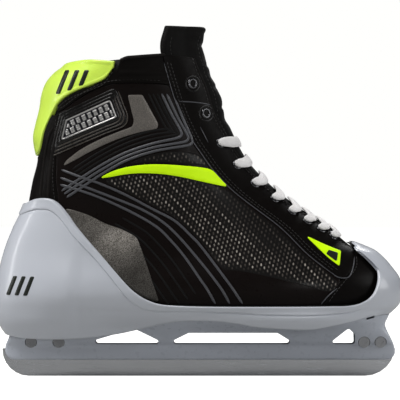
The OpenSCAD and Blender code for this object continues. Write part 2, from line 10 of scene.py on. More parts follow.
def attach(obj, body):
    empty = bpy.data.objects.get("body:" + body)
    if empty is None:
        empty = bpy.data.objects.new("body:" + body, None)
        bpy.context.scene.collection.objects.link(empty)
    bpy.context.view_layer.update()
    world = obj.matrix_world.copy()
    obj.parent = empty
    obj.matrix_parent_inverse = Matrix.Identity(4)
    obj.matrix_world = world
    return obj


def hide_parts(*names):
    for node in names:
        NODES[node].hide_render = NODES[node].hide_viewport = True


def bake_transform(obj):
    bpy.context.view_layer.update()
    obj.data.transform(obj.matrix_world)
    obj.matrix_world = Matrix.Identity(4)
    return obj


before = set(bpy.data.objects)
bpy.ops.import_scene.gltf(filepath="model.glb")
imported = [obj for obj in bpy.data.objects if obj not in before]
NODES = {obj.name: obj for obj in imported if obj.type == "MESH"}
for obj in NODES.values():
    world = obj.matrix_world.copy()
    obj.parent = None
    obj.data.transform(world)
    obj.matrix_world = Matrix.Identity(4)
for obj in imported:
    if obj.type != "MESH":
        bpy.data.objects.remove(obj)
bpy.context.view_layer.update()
MM = 0.001
LATERAL, MEDIAL = -1, 1
SIDES = {"lateral": LATERAL, "medial": MEDIAL}

# ------------------------------------------------------------------ camera
VIEW_CENTRE = (0.00195, -0.030, 0.1404)     # middle of the picture, on the near side of the boot
VIEW_WIDTH = 0.312                          # what the picture spans there
VIEW_DISTANCE = 1.7
VIEW_ELEVATION = math.radians(1.5)

camera = bpy.data.objects.new("camera", bpy.data.cameras.new("camera"))
bpy.context.scene.collection.objects.link(camera)
bpy.context.scene.camera = camera
camera.data.sensor_width = 36
camera.data.lens = 36 * VIEW_DISTANCE / VIEW_WIDTH
camera.data.clip_start, camera.data.clip_end = 0.05, 30
view_back = Vector((0, -math.cos(VIEW_ELEVATION), math.sin(VIEW_ELEVATION)))
camera.location = Vector(VIEW_CENTRE) + view_back * VIEW_DISTANCE
camera.rotation_mode = "QUATERNION"
camera.rotation_quaternion = (-view_back).to_track_quat("-Z", "Y")

# ------------------------------------------------------------------ the boot's form, as in the CAD
# Lengthwise lines, each a list of (height, value) in millimetres
HEEL_LINE = [
    (54, -132), (60, -136), (75, -142), (92, -144), (108, -142), (122, -138.5), (134, -134.5),
    (142, -133), (155, -130.5), (172, -126.5), (180, -128.5), (190, -129.5), (200, -127.5),
    (212, -124.5), (222, -123), (232, -119.5), (240, -113), (246, -105), (252, -101), (276, -99)]
INSTEP_LINE = [
    (54, 145), (60, 149), (72, 154), (82, 152), (92, 144), (100, 133), (106, 121), (114, 112),
    (122, 100), (135, 80), (151, 60), (168, 43.5), (181, 35), (191, 30), (208, 21), (228, 15.5),
    (245, 8), (262, 4), (276, 7)]
WIDEST_X = [
    (54, 58), (75, 58), (90, 50), (104, 36), (120, 15), (140, -15), (160, -36), (185, -46),
    (220, -51), (276, -54)]
HALF_WIDTH = [
    (54, 46), (60, 49), (68, 51.5), (78, 51), (90, 47.5), (100, 44.5), (114, 42), (130, 40),
    (150, 40.5), (170, 42.5), (190, 43.5), (215, 45), (235, 47), (252, 48), (276, 50)]
HEEL_POWER = [(54, 2.7), (100, 2.5), (150, 2.3), (190, 2.2), (276, 2.2)]
TOE_POWER = [(54, 2.3), (90, 2.35), (110, 2.5), (276, 2.5)]
WAIST_IN = [(54, 0.19), (80, 0.15), (110, 0.08), (140, 0.03), (165, 0), (276, 0)]
WAIST_X, WAIST_SPREAD, TOE_SWING = -45, 45, 4
COWL_HEEL_LINE = [
    (26, -146), (38, -156), (50, -160), (62, -161), (80, -158.5), (95, -155), (106, -151.5),
    (118, -146.5), (127, -142), (133, -139.3), (138, -137.5), (146, -137)]
COWL_TOE_LINE = [
    (26, 140), (38, 144), (46, 149.5), (50, 153.8), (53.5, 157.5), (57, 160.6), (63, 162.2),
    (70, 162.6), (78, 160.8), (85, 156), (93, 149.2), (100, 141), (104, 132), (107, 125), (146, 120)]
COWL_EXTRA = [(26, -16), (38, -6), (46, 1), (54, 4.5), (62, 5.2), (80, 5), (100, 4.6), (146, 4.2)]
BOOT = (HEEL_LINE, INSTEP_LINE, [(0, 0), (300, 0)])
COWL = (COWL_HEEL_LINE, COWL_TOE_LINE, COWL_EXTRA)

# Seams seen from the side, as (height, x), and edges by the angle round the boot
EYESTAY_SEAM = [
    (59, 96), (70, 104), (79, 111), (84, 104), (98, 86), (114, 70), (122, 61), (140, 37),
    (150, 25), (164, 12), (178, 2), (187, -4), (204, -12), (220, -18), (240, -24), (256, -28)]
TOE_SEAM = [(59, 96), (70, 104), (79, 112), (84, 118), (90, 121.5), (96, 122)]
HEEL_SEAM = [(59, -100), (110, -106), (140, -109), (160, -111), (208, -108)]
EYESTAY_EDGE = [(96, 37), (101, 28), (105, 21.5), (112, 21.5), (140, 24.5), (186, 29), (233, 34), (256, 36)]
QUARTER_TOP = [
    (60, 227), (72, 230), (90, 231), (103, 229.5), (113, 225), (124, 218), (137, 209.5), (146, 208)]
CUFF_TOP = [(60, 253), (90, 250.5), (97, 248)]
CUFF_BACK = 141
GUARD_LOW = [
    (101, 243), (105, 235), (115, 229.5), (130, 223), (142, 214), (149, 200), (154, 186),
    (162, 178), (172, 175), (180, 174.5)]
GUARD_TOP = [(101, 248), (125, 249.5), (150, 248.5), (180, 247)]
LACED_EYELETS = [
    (106.5, 112), (97, 117.5), (86, 124), (74, 131.5), (60.5, 141.5), (45, 153.5), (31, 168), (18, 185)]
FREE_EYELETS = [(6.5, 208), (-4, 231)]
TONGUE_FRONT = [(98, -8.6), (106, -8.6), (114, -3), (124, -1.5), (188, -1.5), (204, 0), (276, 0)]
TONGUE_ANGLE = [(98, 40), (110, 48), (150, 52), (190, 54), (230, 57), (256, 62), (276, 58)]
SHELL_T, SHELL_Z, COWL_T = 2.6, 59.5, 3.0
TONGUE_UNDER, TONGUE_T = -8.6, 6.5


def curve(table, x):
    """Smooth value at x of the curve through a list of (x, value)."""
    k, v = np.array(table, float).T
    x = np.asarray(x, float)
    i = np.searchsorted(k[1:-1], x, side="left")
    n = np.arange(len(k))
    lo, hi = np.maximum(n - 1, 0), np.minimum(n + 1, len(k) - 1)
    slope = (v[hi] - v[lo]) / (k[hi] - k[lo])
    h = k[i + 1] - k[i]
    u = np.clip((x - k[i]) / h, 0, 1)
    return ((2 * u**3 - 3 * u**2 + 1) * v[i] + (u**3 - 2 * u**2 + u) * slope[i] * h
            + (3 * u**2 - 2 * u**3) * v[i + 1] + (u**3 - u**2) * slope[i + 1] * h)


def smooth(t):
    u = np.clip(t, 0, 1)
    return u * u * (3 - 2 * u)


def mix(a, b, u):
    return a + (b - a) * u


def bump(x, centre, spread):
    return np.exp(-(((x - centre) / spread) ** 2))


def ring(z, a, off=0.0, form=BOOT):
    """Point at height z and angle a round the form: 0 at the toe, 90 inside, 180 at the heel."""
    z, a, off = np.broadcast_arrays(np.asarray(z, float), np.asarray(a, float), np.asarray(off, float))
    c, s = np.cos(np.radians(a)), np.sin(np.radians(a))
    n = np.where(c > 0, curve(TOE_POWER, z), curve(HEEL_POWER, z))
    wide = curve(WIDEST_X, z)
    reach = off + np.where(c > 0, curve(form[1], z) - wide, wide - curve(form[0], z))
    x = wide + np.sign(c) * reach * np.abs(c) ** (2 / n)
    w = curve(HALF_WIDTH, z) + curve(form[2], z) + off
    waist = 1 - curve(WAIST_IN, z) * np.exp(-(((x - WAIST_X) / WAIST_SPREAD) ** 2))
    y = TOE_SWING * np.clip(x / 140, 0, 1.1) ** 2 + w * np.sign(s) * np.abs(s) ** (2 / n) * waist
    return np.stack([x, y, z], -1)


def angle_at(z, x, form=BOOT):
    z, x = np.asarray(z, float), np.asarray(x, float)
    wide = curve(WIDEST_X, z)
    d = x - wide
    reach = np.where(d > 0, curve(form[1], z) - wide, wide - curve(form[0], z))
    n = np.where(d > 0, curve(TOE_POWER, z), curve(HEEL_POWER, z))
    return np.degrees(np.arccos(np.sign(d) * np.clip(np.abs(d) / reach, 0, 1) ** (n / 2)))


def unit(v):
    return v / np.maximum(np.linalg.norm(v, axis=-1, keepdims=True), 1e-9)


def run_along(p):
    """Length of a line of points up to each of them."""
    return np.concatenate([[0], np.cumsum(np.linalg.norm(np.diff(p, axis=0), axis=1))])


def normal_at(z, a, form=BOOT):
    z, a = np.asarray(z, float), np.asarray(a, float)
    round_it = ring(z, a + 0.5, 0, form) - ring(z, a - 0.5, 0, form)
    up = ring(z + 0.5, a, 0, form) - ring(z - 0.5, a, 0, form)
    return unit(np.cross(round_it, up))


def lifted(z, a, lift):
    """Points off the boot's form by a lift along its normals, and the normals."""
    n = normal_at(z, a)
    return ring(z, a) + n * lift, n


def on_boot(side, x, z, lift, form=BOOT):
    """Point and outward normal of the side of the form that is seen at x and z from the side."""
    a = side * angle_at(z, x, form)
    n = normal_at(z, a, form)
    return ring(z, a, 0, form) + n * np.asarray(lift, float)[..., None], n


def seam_angle(z):
    return angle_at(z, curve(EYESTAY_SEAM, z))


def heel_angle(z):
    return angle_at(z, curve(HEEL_SEAM, z))


def edge_angle(z):
    return np.where(z < 96, angle_at(z, curve(TOE_SEAM, z)), curve(EYESTAY_EDGE, z))


def half_turn(a):
    return np.where(a > 180, 360 - a, a)


def below_guard(a):
    return curve(GUARD_LOW, half_turn(a)) - 1.6


# ------------------------------------------------------------------ meshes
def grid_faces(nu, nv, wrap_u=False, wrap_v=False):
    """Quads of a grid of nu by nv points."""
    rows, columns = nu if wrap_u else nu - 1, nv if wrap_v else nv - 1
    i, j = np.meshgrid(np.arange(rows), np.arange(columns), indexing="ij")
    k, m = (i + 1) % nu, (j + 1) % nv
    return np.stack([i * nv + j, k * nv + j, k * nv + m, i * nv + m], -1).reshape(-1, 4)


def signed_volume(verts, faces):
    total = 0.0
    for f in faces:
        f = np.asarray(f)
        for k in range(1, f.shape[1] - 1):
            a, b, c = verts[f[:, 0]], verts[f[:, k]], verts[f[:, k + 1]]
            total += np.einsum("ij,ij->", a, np.cross(b, c))
    return total


def piece(name, verts, faces, material, body="boot", slot=None, replaces=(),
          sharp=None, fields=None, ride=True):
    """A mesh object from points in millimetres and lists of faces, riding on a body."""
    verts = np.asarray(verts, float).reshape(-1, 3)
    faces = [np.asarray(f, int) for f in faces if len(f)]
    mesh = bpy.data.meshes.new(name)
    mesh.vertices.add(len(verts))
    mesh.vertices.foreach_set("co", (verts * MM).ravel())
    loops = np.concatenate([f.ravel() for f in faces])
    sizes = np.concatenate([np.full(len(f), f.shape[1]) for f in faces])
    mesh.loops.add(len(loops))
    mesh.loops.foreach_set("vertex_index", loops)
    mesh.polygons.add(len(sizes))
    mesh.polygons.foreach_set("loop_start", np.concatenate([[0], np.cumsum(sizes)[:-1]]))
    mesh.update(calc_edges=True)
    mesh.validate()
    mesh.shade_smooth()
    if sharp:
        mesh.set_sharp_from_angle(angle=math.radians(sharp))
    for key, values in (fields or {}).items():
        field = mesh.attributes.new(key, "FLOAT", "POINT")
        field.data.foreach_set("value", np.asarray(values, np.float32).ravel())
    obj = bpy.data.objects.new(name, mesh)
    bpy.context.scene.collection.objects.link(obj)
    mesh.materials.append(material)
    if ride:
        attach(obj, body)
    if replaces:
        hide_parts(*replaces)
    return obj


def joined(parts):
    """One (points, faces) out of several."""
    verts, faces, start = [], [], 0
    for v, f in parts:
        v = np.asarray(v, float).reshape(-1, 3)
        verts.append(v)
        faces += [np.asarray(g, int) + start for g in f]
        start += len(v)
    return np.concatenate(verts), faces


def outward(verts, faces):
    """The same closed solid with its faces turned outwards."""
    if signed_volume(verts, faces) < 0:
        faces = [np.asarray(f)[:, ::-1] for f in faces]
    return verts, faces


def slab(outer, inner):
    """Closed solid between two grids of points of the same shape."""
    nu, nv = outer.shape[:2]
    n = nu * nv
    front = grid_faces(nu, nv)
    index = np.arange(n).reshape(nu, nv)
    border = np.concatenate([index[:, 0], index[-1, 1:], index[-2::-1, -1], index[0, -2:0:-1]])
    after = np.roll(border, -1)
    wall = np.stack([border, border + n, after + n, after], -1)
    verts = np.concatenate([outer.reshape(-1, 3), inner.reshape(-1, 3)])
    return outward(verts, [front, front[:, ::-1] + n, wall])


def stations(length, step, edge):
    """Positions from 0 to 1 along a length, finer within an edge's width of both ends."""
    e = edge / length
    near = np.array([0, 0.06, 0.2, 0.45, 0.75]) * e
    middle = np.linspace(e, 1 - e, max(2, int(round((length - 2 * edge) / step)) + 1))
    return np.concatenate([near, middle, 1 - near[::-1]])


def border_distance(grid):
    """How far each point of a grid is from the grid's border, in millimetres."""
    best = np.full(grid.shape[:2], 1e9)
    for axis in (0, 1):
        step = np.linalg.norm(np.diff(grid, axis=axis), axis=-1)
        pad = [(0, 0), (0, 0)]
        pad[axis] = (1, 0)
        run = np.pad(np.cumsum(step, axis=axis), pad)
        total = np.take(run, [-1], axis=axis)
        best = np.minimum(best, np.minimum(run, total - run))
    return best


def rolled(d, r):
    """How far a surface has dropped at a distance d from its rounded edge of radius r."""
    return r * (1 - np.sqrt(np.clip(1 - (1 - np.clip(d / r, 0, 1)) ** 2, 0, 1)))


def panel(at, length_u, length_v, out, inn, roll, step, relief=None):
    """Closed panel with rounded edges; at(u, v, off) gives its points."""
    u, v = np.meshgrid(stations(length_u, step, roll), stations(length_v, step, roll), indexing="ij")
    skin = at(u, v, 0 * u + out)
    d = border_distance(skin)
    lift = 0 if relief is None else relief(skin, d)
    outer = at(u, v, out + lift - rolled(d, roll))
    inner = at(u, v, 0 * u + inn + 0.4 * rolled(d, roll))
    return slab(outer, inner)


def spline(points, step):
    """Smooth line through points (Catmull-Rom), sampled about every step."""
    p = np.asarray(points, float)
    n = len(p)
    out = []
    for i in range(n - 1):
        q = [p[min(max(i + k, 0), n - 1)] for k in (-1, 0, 1, 2)]
        m = max(2, int(np.linalg.norm((q[2] - q[1])[:3]) / step) + 1)
        t = (np.arange(m) / m)[:, None]
        out.append(0.5 * (2 * q[1] + (q[2] - q[0]) * t + (2 * q[0] - 5 * q[1] + 4 * q[2] - q[3]) * t**2
                          + (3 * q[1] - q[0] - 3 * q[2] + q[3]) * t**3))
    return np.concatenate(out + [p[-1:]])


def polyline(points, step):
    """Straight segments through points, sampled about every step."""
    p = np.asarray(points, float)
    out = []
    for a, b in zip(p[:-1], p[1:]):
        m = max(1, int(np.linalg.norm(b - a) / step))
        out.append(a + (b - a) * (np.arange(m) / m)[:, None])
    return np.concatenate(out + [p[-1:]])


def resampled(outline, step):
    """Points at even spacing round a closed outline."""
    p = np.concatenate([outline, outline[:1]])
    run = run_along(p)
    at = np.linspace(0, run[-1], max(8, int(run[-1] / step)) + 1)[:-1]
    return np.stack([np.interp(at, run, p[:, 0]), np.interp(at, run, p[:, 1])], -1)


def rounded(points, radius):
    """A closed outline with its corners filleted and its gentle bends made smooth."""
    p = np.asarray(points, float)
    out = []
    for a, b, c in zip(np.roll(p, 1, axis=0), p, np.roll(p, -1, axis=0)):
        before, after = np.linalg.norm(a - b), np.linalg.norm(c - b)
        u, w = (a - b) / before, (c - b) / after
        half = 0.5 * math.acos(max(-1, min(1, float(u @ w))))
        gentle = half > math.radians(68)
        reach = 0.49 * min(before, after)
        if not gentle:
            reach = min(reach, radius / math.tan(half))
        t = np.linspace(0, 1, 6)[:, None]
        out.append((1 - t) ** 2 * (b + u * reach) + 2 * t * (1 - t) * b + t**2 * (b + w * reach))
    return np.concatenate(out)


def tube(path, normal, half_width, half_height, closed=False):
    """Solid swept along a path; its section is a flattened round, its width across the normal."""
    path, normal = np.asarray(path, float), np.asarray(normal, float)
    if closed:
        tangent = unit(np.roll(path, -1, axis=0) - np.roll(path, 1, axis=0))
    else:
        tangent = unit(np.gradient(path, axis=0))
    across = unit(np.cross(normal, tangent))
    normal = unit(np.cross(tangent, across))
    sides = 10
    phi = np.arange(sides) * 2 * np.pi / sides
    w, h = (np.broadcast_to(np.asarray(size, float), (len(path),))[:, None]
            for size in (half_width, half_height))
    grid = (path[:, None] + across[:, None] * (w * np.cos(phi))[..., None]
            + normal[:, None] * (h * np.sin(phi))[..., None])
    faces = [grid_faces(len(path), sides, wrap_u=closed, wrap_v=True)]
    if not closed:
        first, last = np.arange(sides), np.arange(sides) + (len(path) - 1) * sides
        faces.append(np.array([(e[0], e[k + 1], e[k])
                               for e in (first, last[::-1]) for k in range(1, sides - 1)]))
    return outward(grid.reshape(-1, 3), faces)


def taper(n, ends=4):
    """Widths along a tube that closes to a point-like end over a few stations."""
    k = np.minimum(np.arange(n), np.arange(n)[::-1])
    return np.sqrt(np.clip((k + 0.35) / ends, 0, 1))


def ribbon(side, points, width, height, lift=0.0, curved=True):
    """Raised line along (x, z) points on one side of the boot."""
    line = (spline if curved else polyline)(points, 1.2)
    p, n = on_boot(side, line[:, 0], line[:, 1], lift)
    size = taper(len(p))
    return tube(p, n, width / 2 * size, height * size)


def edge_line(side, angle_of, heights, lift, radius):
    """Round piping along an edge given as an angle for each height."""
    z = np.linspace(*heights, max(8, int(abs(heights[1] - heights[0]) / 1.5)))
    p, n = lifted(z, side * angle_of(z), lift)
    size = taper(len(z)) * radius
    return tube(p, n, size, size)


def stitches(path, normal, pitch=3.0):
    """A row of sewn stitches along a path."""
    length, width, height = 2.2, 0.55, 0.32
    path, normal = np.asarray(path, float), np.asarray(normal, float)
    run = run_along(path)
    at = np.arange(pitch / 2, run[-1], pitch)
    if not len(at):
        return np.zeros((0, 3)), []

    def place(s, data):
        return np.stack([np.interp(s, run, data[:, k]) for k in range(3)], -1)

    p, n = place(at, path), unit(place(at, normal))
    t = unit(place(at + 0.3, path) - place(at - 0.3, path))
    b = unit(np.cross(n, t))
    along = np.array([-1, -0.8, -0.35, 0.35, 0.8, 1]) * length / 2
    size = np.array([0.25, 0.75, 1, 1, 0.75, 0.25])
    rise = np.array([-0.35, 0.3, 0.75, 0.75, 0.3, -0.35]) * height
    phi = np.arange(6) * np.pi / 3
    local = np.stack([
        np.repeat(along, 6),
        (size[:, None] * np.cos(phi) * width / 2).ravel(),
        (size[:, None] * np.sin(phi) * height).ravel() + np.repeat(rise, 6)], -1)
    verts = (p[:, None] + t[:, None] * local[None, :, :1] + b[:, None] * local[None, :, 1:2]
             + n[:, None] * local[None, :, 2:])
    quads = grid_faces(6, 6, wrap_v=True)
    caps = np.array([[0, 5, 4, 3], [0, 3, 2, 1], [30, 31, 32, 33], [30, 33, 34, 35]])
    one = np.concatenate([quads[:, ::-1], caps[:, ::-1]])
    faces = (one[None] + (np.arange(len(at)) * 36)[:, None, None]).reshape(-1, 4)
    return outward(verts.reshape(-1, 3), [faces])


def sewn_edge(side, angle_of, heights, lift, shift):
    """Stitches beside an edge given as an angle for each height; shift moves them backwards, in degrees."""
    z = np.linspace(*heights, 200)
    return stitches(*lifted(z, side * (angle_of(z) + shift), lift))


def outline_distance(points, outline):
    """Distance of points from a closed outline, and whether they are inside it."""
    a, b = outline, np.roll(outline, -1, axis=0)
    ab = b - a
    p = points[:, None]
    t = np.clip(((p - a) * ab).sum(-1) / np.maximum((ab * ab).sum(-1), 1e-12), 0, 1)
    d = np.linalg.norm(p - (a + ab * t[..., None]), axis=-1).min(1)
    over = (a[:, 1] > p[..., 1]) != (b[:, 1] > p[..., 1])
    cross = a[:, 0] + (p[..., 1] - a[:, 1]) / np.where(ab[:, 1] == 0, 1e-12, ab[:, 1]) * ab[:, 0]
    inside = ((over & (p[..., 0] < cross)).sum(1) % 2) == 1
    return d, inside


def patch(side, outline, height, lift=0.0, sink=0.25, roll=0.6, step=2.5, edge_step=1.0,
          relief=None, form=BOOT):
    """Raised patch with a rounded border on one side of the boot, inside an (x, z) outline."""
    loop = resampled(outline, edge_step)
    ahead, behind = np.roll(loop, -1, axis=0), np.roll(loop, 1, axis=0)
    t = unit(ahead - behind)
    area = 0.5 * np.sum(loop[:, 0] * ahead[:, 1] - ahead[:, 0] * loop[:, 1])
    inward = np.stack([-t[:, 1], t[:, 0]], -1) * np.sign(area)
    points = [loop]
    for d in (0.12 * roll, 0.4 * roll, roll):
        q = loop + inward * d
        gap, inside = outline_distance(q, loop)
        points.append(q[inside & (gap > 0.93 * d)])
    lo, hi = loop.min(0), loop.max(0)
    gx, gz = np.meshgrid(np.arange(lo[0], hi[0], step), np.arange(lo[1], hi[1], step * 0.87), indexing="ij")
    gx = gx + (np.arange(gx.shape[1]) % 2) * step / 2
    q = np.stack([gx.ravel(), gz.ravel()], -1)
    gap, inside = outline_distance(q, loop)
    points.append(q[inside & (gap > max(1.4 * roll, 0.6 * step))])
    flat = np.concatenate(points)
    verts, _, faces, *_ = delaunay_2d_cdt(
        [Vector(p) for p in flat], [], [list(range(len(loop)))], 1, 1e-5, False)
    xz = np.array([tuple(v) for v in verts])
    tri = np.array([list(f) for f in faces])
    tri = tri[outline_distance(xz[tri].mean(1), loop)[1]]       # none across the hollows of the outline
    d, _ = outline_distance(xz, loop)
    up = height - rolled(d, roll) * (height + sink * 0.6) / roll
    if relief is not None:
        up = up + relief(xz, d)
    top, n = on_boot(side, xz[:, 0], xz[:, 1], lift + up, form)
    under = top - n * (up + sink)[:, None]
    m = len(xz)
    edges = {}
    for f in tri:
        for a, b in ((f[0], f[1]), (f[1], f[2]), (f[2], f[0])):
            edges[(a, b)] = edges.get((a, b), 0) + 1
    rim = np.array([e for e in edges if (e[1], e[0]) not in edges])
    wall = np.stack([rim[:, 0], rim[:, 0] + m, rim[:, 1] + m, rim[:, 1]], -1)
    body, faces = outward(np.concatenate([top, under]), [tri, tri[:, ::-1] + m, wall])
    return body, faces, np.concatenate([xz, xz]), np.concatenate([d, d])


# ------------------------------------------------------------------ materials
def linear(r, g, b):
    """Colour from 0-255 screen values."""
    c = np.array([r, g, b]) / 255
    c = np.where(c <= 0.04045, c / 12.92, ((c + 0.055) / 1.055) ** 2.4)
    return (*c.tolist(), 1.0)


def shade(base, factor):
    """A linear colour made lighter or darker."""
    return tuple(min(1, c * factor) for c in base[:3]) + (1,)


class Nodes:
    """A material under construction."""

    def __init__(self, name):
        self.material = bpy.data.materials.new(name)
        self.material.use_nodes = True
        self.tree = self.material.node_tree
        self.tree.nodes.clear()
        self.shader = self.add("ShaderNodeBsdfPrincipled")
        out = self.add("ShaderNodeOutputMaterial")
        self.link(self.shader.outputs[0], out.inputs["Surface"])
        self.where = self.add("ShaderNodeTexCoord").outputs["Object"]

    def add(self, kind, **settings):
        node = self.tree.nodes.new(kind)
        for key, value in settings.items():
            setattr(node, key, value)
        return node

    def link(self, a, b):
        self.tree.links.new(a, b)

    def set(self, **values):
        for key, value in values.items():
            self.shader.inputs[key.replace("_", " ")].default_value = value

    def put(self, socket, source):
        """Links a source, or sets a number, on a socket."""
        if isinstance(source, bpy.types.NodeSocket):
            self.link(source, socket)
        else:
            socket.default_value = source

    def maths(self, operation, a, b=0.0, clamp=False):
        node = self.add("ShaderNodeMath", operation=operation, use_clamp=clamp)
        for socket, source in zip(node.inputs, (a, b, 0.0)):
            self.put(socket, source)
        return node.outputs[0]

    def plus(self, a, b):
        return self.maths("ADD", a, b)

    def minus(self, a, b):
        return self.maths("SUBTRACT", a, b)

    def times(self, a, b):
        return self.maths("MULTIPLY", a, b)

    def scaled(self, x, y, z):
        node = self.add("ShaderNodeMapping")
        self.link(self.where, node.inputs["Vector"])
        node.inputs["Scale"].default_value = (x, y, z)
        return node.outputs[0]

    def noise(self, scale, detail, roughness=0.5, vector=None):
        node = self.add("ShaderNodeTexNoise")
        self.link(vector or self.where, node.inputs["Vector"])
        for key, value in (("Scale", scale), ("Detail", detail), ("Roughness", roughness)):
            node.inputs[key].default_value = value
        return node.outputs[0]

    def cells(self, scale):
        node = self.add("ShaderNodeTexVoronoi")
        self.link(self.where, node.inputs["Vector"])
        node.inputs["Scale"].default_value = scale
        return node.outputs["Distance"]

    def ramp(self, source, *stops):
        """Colour ramp: stops are (position, colour)."""
        node = self.add("ShaderNodeValToRGB")
        self.link(source, node.inputs[0])
        e = node.color_ramp.elements
        while len(e) < len(stops):
            e.new(0.5)
        for element, (position, colour) in zip(e, stops):
            element.position, element.color = position, colour
        return node.outputs[0]

    def span(self, source, low, high, from_low=0.0, from_high=1.0):
        node = self.add("ShaderNodeMapRange")
        for socket, value in zip(node.inputs, (source, from_low, from_high, low, high)):
            self.put(socket, value)
        return node.outputs[0]

    def blend(self, factor, a, b):
        node = self.add("ShaderNodeMix", data_type="RGBA")
        self.put(node.inputs["Factor"], factor)
        for socket, source in zip([i for i in node.inputs if i.type == "RGBA"], (a, b)):
            self.put(socket, source)
        return next(o for o in node.outputs if o.type == "RGBA")

    def field(self, name):
        return self.add("ShaderNodeAttribute", attribute_name=name).outputs["Fac"]

    def bump(self, height, strength, depth):
        """Relief of a depth in millimetres."""
        node = self.add("ShaderNodeBump")
        self.link(height, node.inputs["Height"])
        node.inputs["Strength"].default_value = strength
        node.inputs["Distance"].default_value = depth * MM
        self.link(node.outputs[0], self.shader.inputs["Normal"])

    def colour(self, source):
        self.put(self.shader.inputs["Base Color"], source)

    def rough(self, source):
        self.put(self.shader.inputs["Roughness"], source)


def moulded(name, colour, rough, grain, coat=0.0, tint=0.06, subsurface=0.0):
    """Smooth moulded plastic: faint flow marks, a fine orange peel and small scuffs."""
    m = Nodes(name)
    base = linear(*colour)
    m.colour(m.ramp(m.noise(18, 3), (0.3, shade(base, 1 - tint)), (0.7, shade(base, 1 + tint))))
    m.rough(m.span(m.noise(240, 3), *rough, 0.35, 0.7))
    m.bump(m.noise(900, 3), 0.15, grain)
    m.set(Coat_Weight=coat, Coat_Roughness=0.08,
          Subsurface_Weight=subsurface, Subsurface_Radius=(0.004, 0.004, 0.004))
    return m.material


def leather(name, colour, rough, scale, depth, light=1.6, gloss=0.06):
    """Coated synthetic leather: pebbled grain with fine creases and a little shine on its high spots."""
    m = Nodes(name)
    base = linear(*colour)
    m.colour(m.ramp(m.noise(45, 5), (0.3, base), (0.75, shade(base, light))))
    m.rough(m.span(m.noise(260, 4), *rough, 0.3, 0.7))
    m.bump(m.plus(m.times(m.cells(scale), 0.6), m.times(m.noise(120, 6, 0.6), 0.8)), 0.5, depth)
    m.set(Specular_IOR_Level=gloss)
    return m.material


def fabric(name, colour, scale, depth, sheen=0.3, rough=0.85, gloss=0.5):
    """Knitted or brushed lining: crossed yarns and fuzz."""
    m = Nodes(name)
    base = linear(*colour)
    yarn = []
    for axes in ((scale, scale * 0.2, scale * 0.2), (scale * 0.2, scale * 0.2, scale)):
        wave = m.add("ShaderNodeTexWave", bands_direction="DIAGONAL")
        m.link(m.scaled(*axes), wave.inputs["Vector"])
        wave.inputs["Scale"].default_value = 1
        wave.inputs["Distortion"].default_value = 1.2
        yarn.append(wave.outputs[1])
    fuzz = m.noise(scale * 1.5, 4, 0.7)
    height = m.plus(m.times(*yarn), m.times(fuzz, 0.6))
    # lighter where yarns and fuzz stand high, darker between them: painted shade in the knit's hollows
    m.colour(m.ramp(height, (0.2, base), (1.0, shade(base, 1.5))))
    m.rough(m.span(fuzz, rough - 0.1, min(1, rough + 0.1)))
    m.bump(height, 0.6, depth)
    m.set(Sheen_Weight=sheen, Sheen_Roughness=0.5, Specular_IOR_Level=gloss)
    return m.material


def metal(name, colour, rough, depth, scale, stretch=(1, 1, 1), ground=None):
    """Worked metal: brushed or tumbled, with fine scratches; inked where its raised field is low."""
    m = Nodes(name)
    base = linear(*colour)
    grain = m.noise(scale, 6, 0.7, m.scaled(*stretch))
    bare = m.ramp(grain, (0.3, shade(base, 0.8)), (0.7, base))
    m.colour(m.blend(m.field("raised"), linear(*ground), bare) if ground else bare)
    m.rough(m.span(grain, *rough, 0.3, 0.7))
    m.bump(grain, 0.3, depth)
    m.set(Metallic=1.0)
    return m.material


def printed(name, colour, rough, coat, tint=0.05, painted_glow=0.0):
    """Flat glossy film pressed on the shell."""
    m = Nodes(name)
    base = linear(*colour)
    m.colour(m.ramp(m.noise(60, 4), (0.35, shade(base, 1 - tint)), (0.65, base)))
    m.rough(m.span(m.noise(300, 4), rough - 0.05, rough + 0.1))
    m.bump(m.noise(1500, 2), 0.12, 0.03)
    m.set(Coat_Weight=coat, Coat_Roughness=0.12, Specular_IOR_Level=0.2)
    if painted_glow:                                   # painted glow: emission brightens the fluorescent ink without a lamp
        m.set(Emission_Color=base, Emission_Strength=painted_glow)
    return m.material


